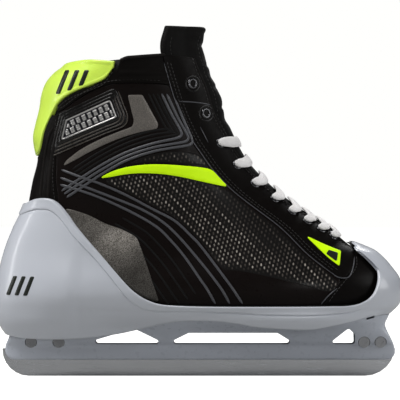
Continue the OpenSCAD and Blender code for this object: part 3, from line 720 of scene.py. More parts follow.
def carbon(name):
    """Twill of dark tows: painted highlights on the floats, in slanting rows, their strength set by a field
    that fades them out at the weave's border.
    """
    m = Nodes(name)
    along, across = 3.45 * MM, 6.0 * MM
    parts = m.add("ShaderNodeSeparateXYZ")
    m.link(m.where, parts.inputs[0])
    u = m.times(m.minus(parts.outputs[0], parts.outputs[2]), math.sqrt(0.5) / along)
    v = m.times(m.plus(parts.outputs[0], parts.outputs[2]), math.sqrt(0.5) / across)

    def floats(shift):
        """Lozenge at every crossing of the rows, shifted by a share of the pitch."""
        du = m.minus(m.maths("FRACT", m.plus(u, 10 + shift)), 0.5)
        dv = m.minus(m.maths("FRACT", m.plus(v, 10 + shift)), 0.5)
        du = m.times(du, along / MM)
        dv = m.times(dv, across / MM)
        upright = m.maths("DIVIDE", m.minus(dv, du), 2.05)
        level = m.maths("DIVIDE", m.plus(dv, du), 1.15)
        far = m.plus(m.times(upright, upright), m.times(level, level))
        return m.maths("SUBTRACT", 1.0, far, clamp=True)

    bright = m.noise(60, 3)
    float_ = m.plus(floats(0.0), m.times(floats(0.5), m.span(bright, 0.15, 0.75, 0.4, 0.65)))
    fibre = m.noise(2600, 3, 0.6)
    shine = m.times(float_, m.span(fibre, 0.7, 1.2, 0.3, 0.7))
    vary = m.span(m.noise(330, 3, 0.6), 0.25, 1.4, 0.33, 0.67)
    strength = m.times(m.times(shine, vary), m.field("painted_weave_highlight"))
    # dark tows, turned pale where the floats carry painted highlights
    m.colour(m.ramp(strength, (0.0, linear(8, 6, 5)), (0.3, linear(74, 69, 64)),
                    (1.0, linear(172, 165, 156))))
    m.rough(m.span(strength, 0.45, 0.35))
    m.bump(m.plus(float_, m.times(m.noise(160, 3), 0.5)), 0.25, 0.05)
    m.set(Coat_Weight=0.05, Coat_Roughness=0.15, Specular_IOR_Level=0.15)
    return m.material


def woven_tape(name, colour):
    """Flat braid of the lace: chevrons of yarn along its own length, from the piece's fields."""
    m = Nodes(name)
    along, across = m.field("along"), m.field("across")
    v = m.plus(m.times(along, 0.9), m.times(m.maths("ABSOLUTE", across), 0.9))
    rib = m.maths("ABSOLUTE", m.maths("SINE", m.times(v, math.pi)))
    strand = m.maths("ABSOLUTE", m.maths("SINE", m.times(across, math.pi * 1.1)))
    yarn = m.maths("POWER", m.times(rib, m.span(strand, 0.55, 1.0)), 0.6)
    fuzz = m.noise(2200, 4, 0.7)
    # the darker colour between the yarns is painted shade in the braid's hollows
    base, low = linear(*colour), linear(*(c * 0.74 for c in colour))
    m.colour(m.blend(m.span(yarn, 0.0, 1.0, 0.1, 0.75), low, base))
    m.rough(m.span(fuzz, 0.75, 0.95))
    m.bump(m.plus(yarn, m.times(fuzz, 0.35)), 0.7, 0.22)
    m.set(Sheen_Weight=0.35, Sheen_Roughness=0.4,
          Subsurface_Weight=0.1, Subsurface_Radius=(0.002, 0.002, 0.002))
    return m.material


def speckled(name, colour, light, rough, painted_shade_colour=None):
    """Dark grey film with a fine metallic fleck; given a dark colour, it blends towards it by a field of
    painted shade and painted highlight.
    """
    m = Nodes(name)
    fleck = m.noise(1500, 2, 0.5)
    cloud = m.noise(70, 4)
    base, high = linear(*colour), linear(*light)
    film = m.blend(m.span(m.times(fleck, m.span(cloud, 0.7, 1.3)), 0, 1, 0.42, 0.75), base, high)
    # painted light: the field darkens the film as painted shade and lifts it as painted highlight
    m.colour(m.blend(m.field("painted_light"), linear(*painted_shade_colour), film) if painted_shade_colour else film)
    m.rough(m.span(fleck, rough + 0.12, rough - 0.08, 0.3, 0.7))
    m.bump(fleck, 0.2, 0.05)
    m.set(Metallic=0.2, Coat_Weight=0.08, Coat_Roughness=0.2, Specular_IOR_Level=0.2)
    return m.material


M = {
    "cowl": moulded("cowling_plastic", (190, 194, 202), (0.3, 0.34), 0.02,
                    coat=0.3, tint=0.01, subsurface=0.06),
    "holder": moulded("holder_plastic", (182, 187, 197), (0.26, 0.38), 0.04,
                      coat=0.1, tint=0.02, subsurface=0.05),
    "runner": metal("ground_steel", (196, 198, 202), (0.12, 0.3), 0.02, 700, (0.05, 1, 1)),
    "hardware": metal("bolt_steel", (150, 151, 154), (0.25, 0.45), 0.03, 600),
    "outsole": moulded("outsole_plastic", (20, 20, 21), (0.4, 0.55), 0.05),
    "board": leather("insole_fibre", (128, 104, 78), (0.7, 0.9), 500, 0.1, light=1.2),
    "footbed": fabric("footbed_knit", (44, 46, 50), 900, 0.2),
    "shell": leather("shell_gloss", (16, 12, 11), (0.26, 0.36), 500, 0.015, light=1.3),
    "toe": leather("toe_plastic", (9, 7, 6), (0.3, 0.42), 700, 0.025, light=1.3),
    "leather": leather("black_leather", (9, 7, 6), (0.36, 0.5), 1000, 0.05, light=1.35),
    "collar": leather("collar_leather", (9, 7, 6), (0.42, 0.56), 1000, 0.07, light=1.4),
    "binding": leather("edge_binding", (20, 18, 17), (0.4, 0.55), 1400, 0.06, light=1.4),
    "pad": fabric("padding_knit", (22, 22, 24), 1200, 0.2),
    "lining": fabric("lining_knit", (34, 35, 38), 1000, 0.2),
    "felt": fabric("tongue_felt", (9, 8, 7), 1500, 0.12, sheen=0.01, rough=0.6, gloss=0.1),
    "guard": moulded("guard_plastic", (206, 238, 84), (0.3, 0.42), 0.04,
                     coat=0.15, tint=0.03, subsurface=0.12),
    # the green film glows by painted emission, not by a lamp
    "green": printed("green_film", (206, 255, 0), 0.42, 0.0, painted_glow=0.13),
    "dark_film": printed("dark_film", (30, 34, 28), 0.35, 0.3),
    "line": printed("grey_line", (74, 75, 79), 0.34, 0.2, 0.1),
    # black of the groove lines: painted shade in the grooves
    "groove": printed("groove_painted_shade", (4, 4, 4), 0.5, 0.0, 0.1),
    "warm": speckled("warm_grey_film", (94, 90, 86), (124, 119, 112), 0.4),
    # the lower panel's film, darkened by painted shade and lit by painted highlights
    "flecked": speckled("flecked_film", (98, 94, 88), (220, 214, 206), 0.3, painted_shade_colour=(22, 20, 18)),
    "carbon": carbon("carbon_twill"),
    "badge": metal("dark_chrome", (206, 204, 202), (0.3, 0.38), 0.01, 500, ground=(40, 41, 46)),
    "shine": leather("polished_leather", (9, 8, 7), (0.22, 0.3), 900, 0.02, gloss=0.2),
    # the badge ribs' grey is a painted highlight on black ribs
    "rib": leather("badge_rib", (60, 55, 50), (0.24, 0.34), 900, 0.01, gloss=0.4),
    "bezel": leather("bezel_plastic", (9, 8, 7), (0.2, 0.3), 900, 0.01, gloss=0.3),
    "eyelet": metal("black_nickel", (88, 88, 90), (0.05, 0.1), 0.004, 500),
    "lace": woven_tape("lace_cotton", (244, 242, 241)),
    "tip": moulded("tip_plastic", (212, 212, 212), (0.2, 0.3), 0.02),
    "thread": fabric("black_thread", (24, 22, 21), 3000, 0.05, sheen=0.05, rough=0.6),
}

# ------------------------------------------------------------------ cowling
PLATE_TOP, PLATE_UNDER = 53.6, 49.6
COLUMNS = 200                       # columns of the cowling's surface on each side
RIM = ([(-136, 137.3), (-131, 139.8), (-124.4, 141.6), (-116, 141.2), (-109.3, 137.2), (-102.4, 129.3),
        (-94.5, 118.6), (-76, 97.5), (-56.6, 75.6), (-47, 67.2), (-38, 62.3), (-28, 59.6), (-12, 58.7),
        (10, 58.5), (60, 58.5), (100, 58.5), (119, 58.7), (130.5, 61.4), (137.7, 66.6), (141.6, 74),
        (142.8, 82), (141.2, 88.6), (137.5, 93.6), (131.5, 97.6), (126.5, 100.2), (124.2, 103.4)])
LOWER_EDGE = [
    (-165, 34.5), (-150, 32.6), (-135, 31), (-100, 31), (-70, 34.5), (-45, 40), (-20, 45.3), (2, 46.8),
    (24, 45.8), (46, 42), (67, 40.5), (86, 39.9), (101.4, 42.4), (116.4, 45.4), (131.4, 48.9), (141, 49.6),
    (165, 49.6)]


def flank(p):
    """Hollows and swells of the cowling's outer face, in millimetres."""
    x, z = p[..., 0], p[..., 2]
    side = smooth((np.abs(p[..., 1]) - 12) / 20)
    edge = -103 + 0.1 * (z - 60)
    hollow = -1.7 * smooth((x - edge) / 11) * (1 - smooth((x + 78) / 80)) * (1 - smooth((z - 86) / 26))
    arch = -7.5 * bump(x, -38, 60) * smooth((56 - z) / 16)
    belly = 5 * bump(x, 84, 62) * smooth((60 - z) / 13)
    swell = 0.8 * bump(x, -110, 14) * bump(z, 84, 34) + 1.2 * bump(x, -128, 26) * bump(z, 42, 8)
    return side * (hollow + swell + arch + belly)


def build_cowling():
    line = spline(RIM, 0.8)
    a = angle_at(line[:, 1], line[:, 0], COWL)
    top_a = np.linspace(a[-1], 0, 24)[1:]
    top_z = mix(line[-1, 1], 106.6, smooth(np.linspace(0, 1, 24)[1:] * 1.6))
    a = np.concatenate([np.linspace(180, a[0], 12)[:-1], a, top_a])
    z = np.concatenate([np.full(11, 137.1), line[:, 1], top_z])
    p = ring(z, a, 0, COWL)
    run = run_along(p)
    s = np.linspace(0, run[-1], COLUMNS + 1)
    rim_a, rim_z = np.interp(s, run, a), np.interp(s, run, z)
    low_a = np.minimum.accumulate(rim_a)
    window = np.exp(-(np.arange(-14, 15) / 7.0) ** 2)
    window /= window.sum()
    padded = np.concatenate([2 * 180 - low_a[14:0:-1], low_a, -low_a[-2:-16:-1]])
    low_a = np.convolve(padded, window, mode="valid")
    low_a[0], low_a[-1] = 180, 0
    low_z = np.full(len(s), 42.0)
    for _ in range(8):
        low_z = curve(LOWER_EDGE, ring(low_z, low_a, 0, COWL)[:, 0])
    # both sides as one closed loop of columns
    back = slice(-2, 0, -1)
    rim_a = np.concatenate([-rim_a, rim_a[back]])
    low_a = np.concatenate([-low_a, low_a[back]])
    rim_z, low_z = np.concatenate([rim_z, rim_z[back]]), np.concatenate([low_z, low_z[back]])
    n = len(rim_a)

    def wall(v, off, floor=None):
        """Points of every column at height fractions v from the lower edge (or a floor) to the rim."""
        v = np.asarray(v, float)
        if floor is not None:
            start = (floor - low_z) / (rim_z - low_z)
            v = start[:, None] + (1 - start[:, None]) * v
        a = low_a[:, None] + (rim_a - low_a)[:, None] * v
        z = low_z[:, None] + (rim_z - low_z)[:, None] * v
        return ring(z, a, off, COWL)

    coarse = wall(np.broadcast_to(np.linspace(0, 1, 60), (n, 60)), 0.0)
    length = np.linalg.norm(np.diff(coarse, axis=1), axis=-1).sum(1)
    band = np.minimum(9.4, 0.36 * length)
    steps = np.array([0, 0.1, 0.3, 0.65, 1.1, 1.7])
    share = np.array([0.3, 0.5, 0.7, 0.85, 0.93, 0.97, 1.0, 1.03, 1.07, 1.15, 1.35, 1.7])
    d_top = np.concatenate([np.broadcast_to(steps, (n, 6)),
                            np.maximum(band[:, None] * share, 1.9 + 0.2 * share)], 1)
    rest = length[:, None] - d_top[:, -1:]
    d_rest = d_top[:, -1:] + rest * np.linspace(0, 1, 26)[1:]
    d_rest[:, -1] = length
    low_roll = length[:, None] - np.array([1.2, 0.6, 0.25, 0.0])
    d = np.concatenate([d_top, d_rest[:, :-1], low_roll], 1)
    d = np.sort(d, axis=1)
    v = 1 - d / length[:, None]
    flat = wall(v, 0.0)
    crease_fade = smooth((135 - flat[..., 0]) / 14)
    raised = 0.75 * (1 - smooth((d / band[:, None] - 0.96) / 0.07)) * crease_fade
    groove = -0.45 * np.exp(-(((d - band[:, None] * 1.0) / 0.7) ** 2)) * crease_fade
    off = raised + groove + flank(flat) - rolled(d, 1.3) - rolled(length[:, None] - d, 1.2)
    outer = wall(v, off)
    # over the rim, down inside, across the floor of the cavity
    inner_v = np.array([1, 0.995, 0.985, 0.96, 0.9, 0.8, 0.65, 0.5, 0.35, 0.2, 0.1, 0])
    inner = wall(np.broadcast_to(inner_v, (n, len(inner_v))), 0.0, PLATE_TOP)
    drop = np.abs(inner[:, :1, 2] - inner[..., 2])
    inner = wall(np.broadcast_to(inner_v, (n, len(inner_v))), -COWL_T + rolled(drop, 1.2) * 0.8, PLATE_TOP)
    # from the lower edge up inside the skirt to the plate's underside
    under_z = np.maximum(PLATE_UNDER, low_z + 0.4)[:, None]
    skirt_z = low_z[:, None] + (under_z - low_z[:, None]) * np.array([0, 0.06, 0.2, 0.5, 0.8, 1.0])
    gap = skirt_z - low_z[:, None]
    dip = np.minimum(0, flank(ring(skirt_z, low_a[:, None], 0, COWL)))
    skirt = ring(skirt_z, low_a[:, None], dip - COWL_T + rolled(gap, 1.2) * 0.8, COWL)
    grid = np.concatenate([inner[:, ::-1], outer, skirt], 1)      # floor .. rim .. lower edge .. underside
    rows = grid.shape[1]
    faces = [grid_faces(n, rows, wrap_u=True)]
    half = n // 2
    verts = [grid.reshape(-1, 3)]
    count = n * rows
    for row in (0, rows - 1):
        left = np.arange(1, half) * rows + row
        right = (n - np.arange(1, half)) * rows + row
        a, b = grid.reshape(-1, 3)[left], grid.reshape(-1, 3)[right]
        mids = [a + (b - a) * t for t in (0.17, 0.33, 0.5, 0.67, 0.83)]
        lanes = [left]
        for m in mids:
            verts.append(m)
            lanes.append(np.arange(len(m)) + count)
            count += len(m)
        lanes.append(right)
        lanes = np.array(lanes)
        strip = np.stack([lanes[:-1, :-1], lanes[:-1, 1:], lanes[1:, 1:], lanes[1:, :-1]], -1).reshape(-1, 4)
        ends = []
        for column, tip in ((0, 0), (-1, half)):
            lane = lanes[:, column]
            centre = tip * rows + row
            ends += [(centre, lane[k], lane[k + 1]) for k in range(len(lane) - 1)]
        ends = np.array(ends)
        first = len(lanes) - 1
        ends[:first] = ends[:first][:, ::-1]
        if row:
            strip, ends = strip[:, ::-1], ends[:, ::-1]
        faces += [strip, ends]
    return outward(np.concatenate(verts), faces)


cowl_verts, cowl_faces = build_cowling()
piece("cowling_moulded", cowl_verts, cowl_faces, M["cowl"], slot="cowl_plastic",
      replaces=["cowling"], sharp=50)


def printed_bars(outlines, lift, form):
    """Dark slanted bars on both sides, in the place of lettering."""
    return joined([patch(side, rounded(bar, 0.7), 0.3, lift, roll=0.25, edge_step=0.6, step=2, form=form)[:2]
                   for side in SIDES.values() for bar in outlines])


HEEL_BARS = [[(x, 66), (x + 3.4, 66), (x + 9.4, 81), (x + 6, 81)] for x in (-150, -143, -136)]
piece("heel_bars", *printed_bars(HEEL_BARS, 0.1, COWL), M["dark_film"], slot="cowl_plastic")

# ------------------------------------------------------------------ blade holder
KEEL_REAR = [(13, -148), (17, -152), (24, -152.5), (30, -150), (38, -148), (52, -150)]
KEEL_FRONT = [
    (13, 152.5), (17, 156.5), (24, 156), (30, 153.5), (36.4, 150.3), (41.2, 148.8), (45.2, 150.4),
    (47.5, 151.5), (52, 154)]
KEEL_WIDTH = [(13, 4.4), (15, 4.8), (24, 5), (27, 7.5), (32, 10.5), (38, 16), (43, 23), (52, 31)]
KEEL_POWER = [(13, 9), (28, 8), (38, 4), (52, 2.6)]
WINDOWS = [
    [(-79, 27.5), (-33, 27.5), (-50, 36.5)],
    [(-17, 27.5), (71, 27.5), (62.5, 33), (-6.5, 33)],
    [(109, 27.5), (122.5, 27.5), (122.5, 32.6), (119, 36.1)]]
HOLDER_LOW, HOLDER_TOP = 13, 49.3
RUNNER_T, SLOT_Z, TAB_Z, BOLT_Z = 4.0, 21.5, 33.0, 27.0
BOLT_X = (-132, -110, 132, 145)


def keel_outline(z):
    """Closed outline of the holder at a height, finer at its two ends."""
    n = 240
    power = curve(KEEL_POWER, z)
    a = np.radians(np.linspace(0, 360, 1441)[:-1])
    c, s = np.cos(a), np.sin(a)
    x = np.where(c > 0, curve(KEEL_FRONT, z), -curve(KEEL_REAR, z)) * np.sign(c) * np.abs(c) ** (2 / power)
    y = curve(KEEL_WIDTH, z) * np.sign(s) * np.abs(s) ** (2 / power)
    p = np.stack([x, y], -1)
    q = np.concatenate([p, p[:1]])
    step = np.linalg.norm(np.diff(q, axis=0), axis=1)
    ends = 150 - np.abs(q[:-1, 0])
    weight = step * (1 + 7 * np.exp(-np.maximum(ends, 0) / 7))
    run = np.concatenate([[0], np.cumsum(weight)])
    at = np.linspace(0, run[-1], n + 1)[:-1]
    x, y = np.interp(at, run, q[:, 0]), np.interp(at, run, q[:, 1])
    return np.stack([x, y, np.full(n, z)], -1)


def prism(outline, depth):
    """Closed bar along Y with an (x, z) outline."""
    p = np.asarray(outline, float)
    n = len(p)
    y = np.array([-depth, depth])
    verts = np.stack([np.repeat(p[:, 0], 2), np.tile(y, n), np.repeat(p[:, 1], 2)], -1)
    k = np.arange(n) * 2
    m = np.roll(k, -1)
    centre = np.array([[p[:, 0].mean(), y[0], p[:, 1].mean()], [p[:, 0].mean(), y[1], p[:, 1].mean()]])
    verts = np.concatenate([verts, centre])
    sides = np.stack([k, k + 1, m + 1, m], -1)
    caps = np.concatenate([np.stack([k, m, np.full(n, 2 * n)], -1),
                           np.stack([m + 1, k + 1, np.full(n, 2 * n + 1)], -1)])
    return outward(verts, [sides, caps])


def rounded_hull(points, r):
    """Outline of circles of radius r swept round a convex outline."""
    p = np.asarray(points, float)
    area = np.sum(p[:, 0] * np.roll(p[:, 1], -1) - np.roll(p[:, 0], -1) * p[:, 1])
    if area < 0:
        p = p[::-1]
    out = []
    for a, b, c in zip(np.roll(p, 1, axis=0), p, np.roll(p, -1, axis=0)):
        t0, t1 = math.atan2(*(b - a)[::-1]) - math.pi / 2, math.atan2(*(c - b)[::-1]) - math.pi / 2
        while t1 < t0:
            t1 += 2 * math.pi
        for t in np.linspace(t0, t1, 10):
            out.append(b + r * np.array([math.cos(t), math.sin(t)]))
    return np.array(out)


def cut(target, cutters, bevel, angle):
    """Cuts solids out of an object and rounds its edges, applied to the mesh."""
    bpy.context.view_layer.update()
    for c in cutters:
        tool = target.modifiers.new("cut", "BOOLEAN")
        tool.object, tool.operation, tool.solver = c, "DIFFERENCE", "EXACT"
    edge = target.modifiers.new("edge", "BEVEL")
    edge.width, edge.segments, edge.limit_method = bevel * MM, 2, "ANGLE"
    edge.angle_limit = math.radians(angle)
    edge.use_clamp_overlap = True
    bake(target)
    for c in cutters:
        bpy.data.objects.remove(c)


def bake(obj):
    """Applies an object's modifiers to its mesh."""
    graph = bpy.context.evaluated_depsgraph_get()
    mesh = bpy.data.meshes.new_from_object(obj.evaluated_get(graph))
    obj.modifiers.clear()
    old = obj.data
    obj.data = mesh
    mesh.name = old.name
    bpy.data.meshes.remove(old)


def loose(name, verts, faces):
    """A mesh object used only to cut with."""
    return piece(name, verts, faces, M["holder"], ride=False)


def build_holder():
    heights = [HOLDER_LOW, 13.25, 13.8, 14.6, 16, 18, 20, 22, 24, 25.2, 26.4, 27.6, 29, 31, 33, 35,
               37, 39, 41, 43, 45, 47, 48.6, 49.1, HOLDER_TOP]
    rings = []
    for z in heights:
        outline = keel_outline(z)
        d = min(z - HOLDER_LOW, 0.8)
        shrink = rolled(d, 0.8) if d < 0.8 else 0.0
        centre = np.array([0, 0, z])
        outline = outline + (centre - outline) * np.array([shrink / 150, shrink / 4.6, 0])
        rings.append(outline)
    grid = np.array(rings)
    m, n = grid.shape[:2]
    verts = np.concatenate([grid.reshape(-1, 3), [[0, 0, heights[0]], [0, 0, heights[-1]]]])
    k = np.arange(n)
    caps = np.concatenate([np.stack([k, (k + 1) % n, np.full(n, m * n)], -1)[:, ::-1],
                           np.stack([k, (k + 1) % n, np.full(n, m * n + 1)], -1)
                           + [(m - 1) * n, (m - 1) * n, 0]])
    verts, faces = outward(verts, [grid_faces(m, n, wrap_v=True), caps])
    holder = piece("blade_holder_moulded", verts, faces, M["holder"])
    cutters = [loose("c", *prism(rounded_hull(w, 2), 60)) for w in WINDOWS]
    rear = [(-134 - 21 * math.sin(t), 21 - 21 * math.cos(t)) for t in np.radians(np.arange(0, 76, 15))]
    front = [(133 + 24 * math.sin(t), 24 - 24 * math.cos(t)) for t in np.radians(np.arange(75, -1, -15))]
    half = RUNNER_T / 2 + 0.1
    cutters.append(loose("c", *prism(rear + [(-155.1, SLOT_Z + 0.1), (157.1, SLOT_Z + 0.1)] + front, half)))
    for lo, hi in ((-143.1, -102.9), (126.9, 151.1)):
        tab = [(lo, 8), (hi, 8), (hi, TAB_Z - 3), (hi - 3, TAB_Z + 0.1),
               (lo + 3, TAB_Z + 0.1), (lo, TAB_Z - 3)]
        cutters.append(loose("c", *prism(tab, half + 0.01)))
    circle = np.linspace(0, 2 * np.pi, 33)[:-1]
    for x in BOLT_X:
        for r, y0, y1 in ((2.62, -40, 40), (4.8, 4.9, 40), (4.8, -40, -4.9)):
            disc = np.stack([x + r * np.cos(circle), BOLT_Z + r * np.sin(circle)], -1)
            v, f = prism(disc, 1)
            v = v * [1, 0, 1] + [0, 1, 0] * np.where(v[:, 1:2] > 0, y1, y0)
            cutters.append(loose("c", v, f))
    tilt = math.radians(15)
    bar = [(136 + u * math.cos(tilt) - w * math.sin(tilt), 47.3 + u * math.sin(tilt) + w * math.cos(tilt))
           for u, w in ((-3.2, -0.75), (3.2, -0.75), (3.2, 0.75), (-3.2, 0.75))]
    cutters.append(loose("c", *prism(bar, 60)))
    cut(holder, cutters, 0.45, 40)
    holder.data.shade_smooth()
    holder.data.set_sharp_from_angle(angle=math.radians(38))
    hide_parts("blade_holder")


build_holder()

# ------------------------------------------------------------------ CAD parts that keep their shape
for node, key in {"runner": "runner", "blade_bolts": "hardware", "blade_nuts": "hardware",
                  "sole_screws": "hardware", "outsole": "outsole", "insole_board": "board",
                  "lace_tips": "tip"}.items():
    slots = NODES[node].data.materials
    slots.clear()
    slots.append(M[key])

# ------------------------------------------------------------------ upper
OVER = 0.55                          # how proud the sewn-on panels stand of the shell


def shell_panel(side, front, back, low, high):
    """at(u, v, off) of a panel between a front and a back angle and between two heights."""
    def at(u, v, off):
        z = mix(low(u), high(u), v)
        return ring(z, side * mix(front(z), back(z), u), off)
    return at


def quarter_at(side):
    def top(u):
        z = curve(QUARTER_TOP, mix(67, 139, u))
        return curve(QUARTER_TOP, mix(seam_angle(z), heel_angle(z), u))
    return shell_panel(side, lambda z: seam_angle(z) + 0.1, lambda z: heel_angle(z) - 0.1,
                       lambda u: SHELL_Z, top)


def cuff_at(side):
    def low(u):
        z = curve(QUARTER_TOP, mix(67, CUFF_BACK, u))
        return curve(QUARTER_TOP, mix(seam_angle(z), CUFF_BACK, u)) + 0.2
    def high(u):
        b = mix(69, CUFF_BACK, u)
        return np.where(b < 97, curve(CUFF_TOP, b), below_guard(np.maximum(b, 101)) + 0.8)
    return shell_panel(side, lambda z: seam_angle(z) + 0.1, lambda z: 0 * z + CUFF_BACK, low, high)


def counter_at(u, v, off):
    def top(w):
        h = heel_angle(np.clip(below_guard(mix(139, 221, w)), 172, 204))
        return np.minimum(206.6, below_guard(mix(h, 360 - h, w)) + 0.8)
    z = mix(SHELL_Z, top(u), v)
    a = heel_angle(z) + 0.1
    return ring(z, mix(a, 360 - a, u), off)


def toe_at(u, v, off):
    z = mix(SHELL_Z, 106.2 - 11 * np.abs(2 * u - 1) ** 2.2, v)
    a = angle_at(z, curve(TOE_SEAM, z)) - 0.1
    return ring(z, a * (1 - 2 * u), off)


def cuff_ribs(p, d):
    """Padded ribs that run round the collar."""
    z, x = p[..., 2], p[..., 0]
    wave = 0.55 * np.abs(np.sin((z - 222.5) * np.pi / 4.6)) ** 0.7
    return wave * smooth((242 - z) / 2) * smooth((z - 222) / 3) * smooth((x + 66) / 8) * smooth((-19 - x) / 4)


for word, side in SIDES.items():
    v, f = panel(quarter_at(side), 190, 165, 0.0, -SHELL_T, 0.5, 2.4)
    piece(f"quarter_shell_{word}", v, f, M["shell"], slot="shell_composite",
          replaces=[f"quarter_{word}"], sharp=60)
    v, f = panel(cuff_at(side), 110, 25, 0.35, -SHELL_T, 0.8, 1.3, cuff_ribs)
    piece(f"cuff_cover_{word}", v, f, M["collar"], slot="black_leather", replaces=[f"cuff_{word}"], sharp=60)
    eyestay_at = shell_panel(side, lambda z: edge_angle(z) + 0.1, lambda z: seam_angle(z) - 0.1,
                             lambda u: 80.5 + 0 * u, lambda u: 253 - 2 * (1 - u))
    v, f = panel(eyestay_at, 26, 190, OVER, -SHELL_T, 0.7, 1.6)
    piece(f"eyestay_cover_{word}", v, f, M["leather"], slot="black_leather",
          replaces=[f"eyestay_{word}"], sharp=60)

v, f = panel(counter_at, 150, 115, 0.2, -SHELL_T, 0.5, 2.2)
piece("heel_counter_cover", v, f, M["leather"], slot="black_leather", replaces=["heel_counter"], sharp=60)
v, f = panel(toe_at, 150, 45, 0.3, -SHELL_T, 0.6, 1.8)
piece("toe_cap_cover", v, f, M["toe"], slot="toe_plastic", replaces=["toe_cap"], sharp=60)

# ------------------------------------------------------------------ decoration of the shell, seen at (x, z)
SWOOSH = rounded(
    [(-76.8, 157.4), (-68.3, 162.2), (-56.6, 166.1), (-41, 168.3), (-25.4, 168.4), (-9.8, 167.2), (2, 166.1),
     (11.0, 164.6), (25.0, 150.3), (13.7, 152.6), (2, 155.2), (-13.7, 158.9), (-29.3, 161.1), (-44.9, 161.6),
     (-56.6, 160.6), (-68.3, 158.2)], 1.6)
TOE_FLASH = rounded([(83.0, 113.3), (101.5, 104.4), (111.8, 100.4), (110.2, 88.9), (101.5, 95.4)], 1.0)
TOE_TAB = rounded([(99.6, 98.4), (101.8, 101.4), (109.2, 99.0), (108.0, 92.2)], 1.2)
LINES_UPPER = [
    [(-27.7, 223), (-20.5, 208), (-13.6, 195.6), (-12.6, 190.9), (-17, 188.4), (-34, 184.6), (-54.5, 177.8),
     (-74, 168), (-94.4, 155.2), (-106, 147.4)],
    [(-23.8, 222.8), (-15.5, 205), (-8.0, 191.5), (-7.6, 187.4), (-12, 185.4), (-33, 181.6), (-54.6, 174.7),
     (-73, 165), (-90.4, 154.1), (-104, 145)],
    [(-17.5, 219), (-10, 201.5), (-4.4, 188.4), (-5.0, 184.0), (-11, 182.4), (-33, 178.6), (-54.5, 171.6),
     (-71, 162.7), (-86, 153.0), (-102, 142.4)]]
LINES_LOWER = [
    [(-106, 164.0), (-88.5, 157.6), (-76, 153.4), (-56.6, 145), (-34.7, 133.4), (-17.5, 124.3), (-5, 112.8),
     (2, 105.6), (14.9, 88.9), (26.9, 72.8), (34.7, 61.0)],
    [(-107, 157.8), (-85, 149.8), (-60.5, 140.4), (-41.7, 132.4), (-25.7, 122.5), (-12.9, 110.4), (2, 93.2),
     (9.8, 83.7), (18.9, 71.6), (24.9, 60.8)],
    [(-107, 152.4), (-88, 146.8), (-70.6, 140.2), (-49.5, 130.2), (-31.6, 119.6), (-20.7, 109.2),
     (-9.8, 96.5), (2, 79.8), (7.6, 71.8), (13.9, 60.6)]]
# Low black ribbons that stand in for the shade in grooves: painted shade
GROOVES = [
    [(x - 9 - 6 * k, z - 3.5 - 4.4 * k) for x, z in LINES_LOWER[2][3:-1]] for k in range(4)]
for k in (1, 2, 3):                  # between the upper lines and the grey panel
    share = [float(smooth((z - 186) / 8)) for x, z in LINES_UPPER[0]]
    GROOVES.append([(x - k * mix(0.9, 3.4, w), z + k * mix(3.1, 0, w))
                    for (x, z), w in zip(LINES_UPPER[0][:-1], share)])
UPPER_PANEL = rounded(
    [(-54, 222.0), (-42.5, 222.0), (-30.2, 199.6), (-31.2, 195.9), (-44.9, 193.2), (-60.5, 188.6),
     (-80, 180.0), (-95.5, 171.4), (-105, 166.6), (-102.6, 170.8), (-91.6, 179.6), (-76, 187.6),
     (-60.5, 193.8), (-50.5, 197.4), (-49.0, 201.8)], 1.6)
LOWER_PANEL = rounded(
    [(-104, 134.2), (-87.8, 130.3), (-69.8, 121.2), (-60.5, 118.6), (-49.4, 113), (-46.6, 110.2), (-41, 95.2),
     (-29.6, 61.2), (-44, 64.5), (-60, 79), (-80, 101), (-96, 119.5)], 1.6)
WEAVE_ZONE = rounded(
    [(-72, 156.6), (-60, 160.0), (-44.9, 161.6), (-29.3, 161.2), (-13.7, 159.0), (2, 155.4), (13.7, 152.8),
     (22.6, 149.6), (36.0, 138.2), (59.4, 121.4), (69.6, 112.0), (84.8, 96.6), (100.6, 84.6), (108.4, 77.6),
     (107.6, 71.4), (100, 69.5), (84, 74.5), (66, 79.0), (46, 83.6), (30, 86.5), (20, 86.4), (15.2, 91.6),
     (4, 106.6), (-4, 115.0), (-17.5, 127.0), (-34.7, 136.2), (-56.6, 147.8), (-70, 153.4)], 1.6)
# Where the weave's painted highlights fade out into plain black
WEAVE_LOW = [(0, 92), (20, 90.5), (59, 84.5), (89, 73.5), (110, 66)]
WEAVE_BAND = rounded(
    [(-72, 162.6), (-56.6, 168.0), (-41, 170.2), (-25.4, 170.4), (-9.8, 169.0), (4, 167.4), (9.4, 166.2),
     (4.4, 174.6), (-6, 178.0), (-22, 178.6), (-38, 175.4), (-54, 168.6), (-68, 162.0)], 1.6)
BADGE = [(-101.8, 203.0), (-67.0, 218.6), (-61.9, 204.6), (-106.0, 186.2)]


def grown(outline, by):
    """An outline moved outwards, its corners kept."""
    p = np.asarray(outline, float)
    area = np.sum(p[:, 0] * np.roll(p[:, 1], -1) - np.roll(p[:, 0], -1) * p[:, 1])
    turn = 1 if area > 0 else -1
    out = []
    for a, b, c in zip(np.roll(p, 1, axis=0), p, np.roll(p, -1, axis=0)):
        n0 = turn * np.array([(b - a)[1], -(b - a)[0]]) / np.linalg.norm(b - a)
        n1 = turn * np.array([(c - b)[1], -(c - b)[0]]) / np.linalg.norm(c - b)
        m = n0 + n1
        out.append(b + by * m / max(0.35, m @ n0))
    return np.array(out)


def film(word, name, outline, height, key, slot="shell_composite", **shape):
    """A patch in one material on the side that the word names."""
    v, f, *_ = patch(SIDES[word], outline, height, **shape)
    piece(f"{name}_{word}", v, f, M[key], slot=slot)


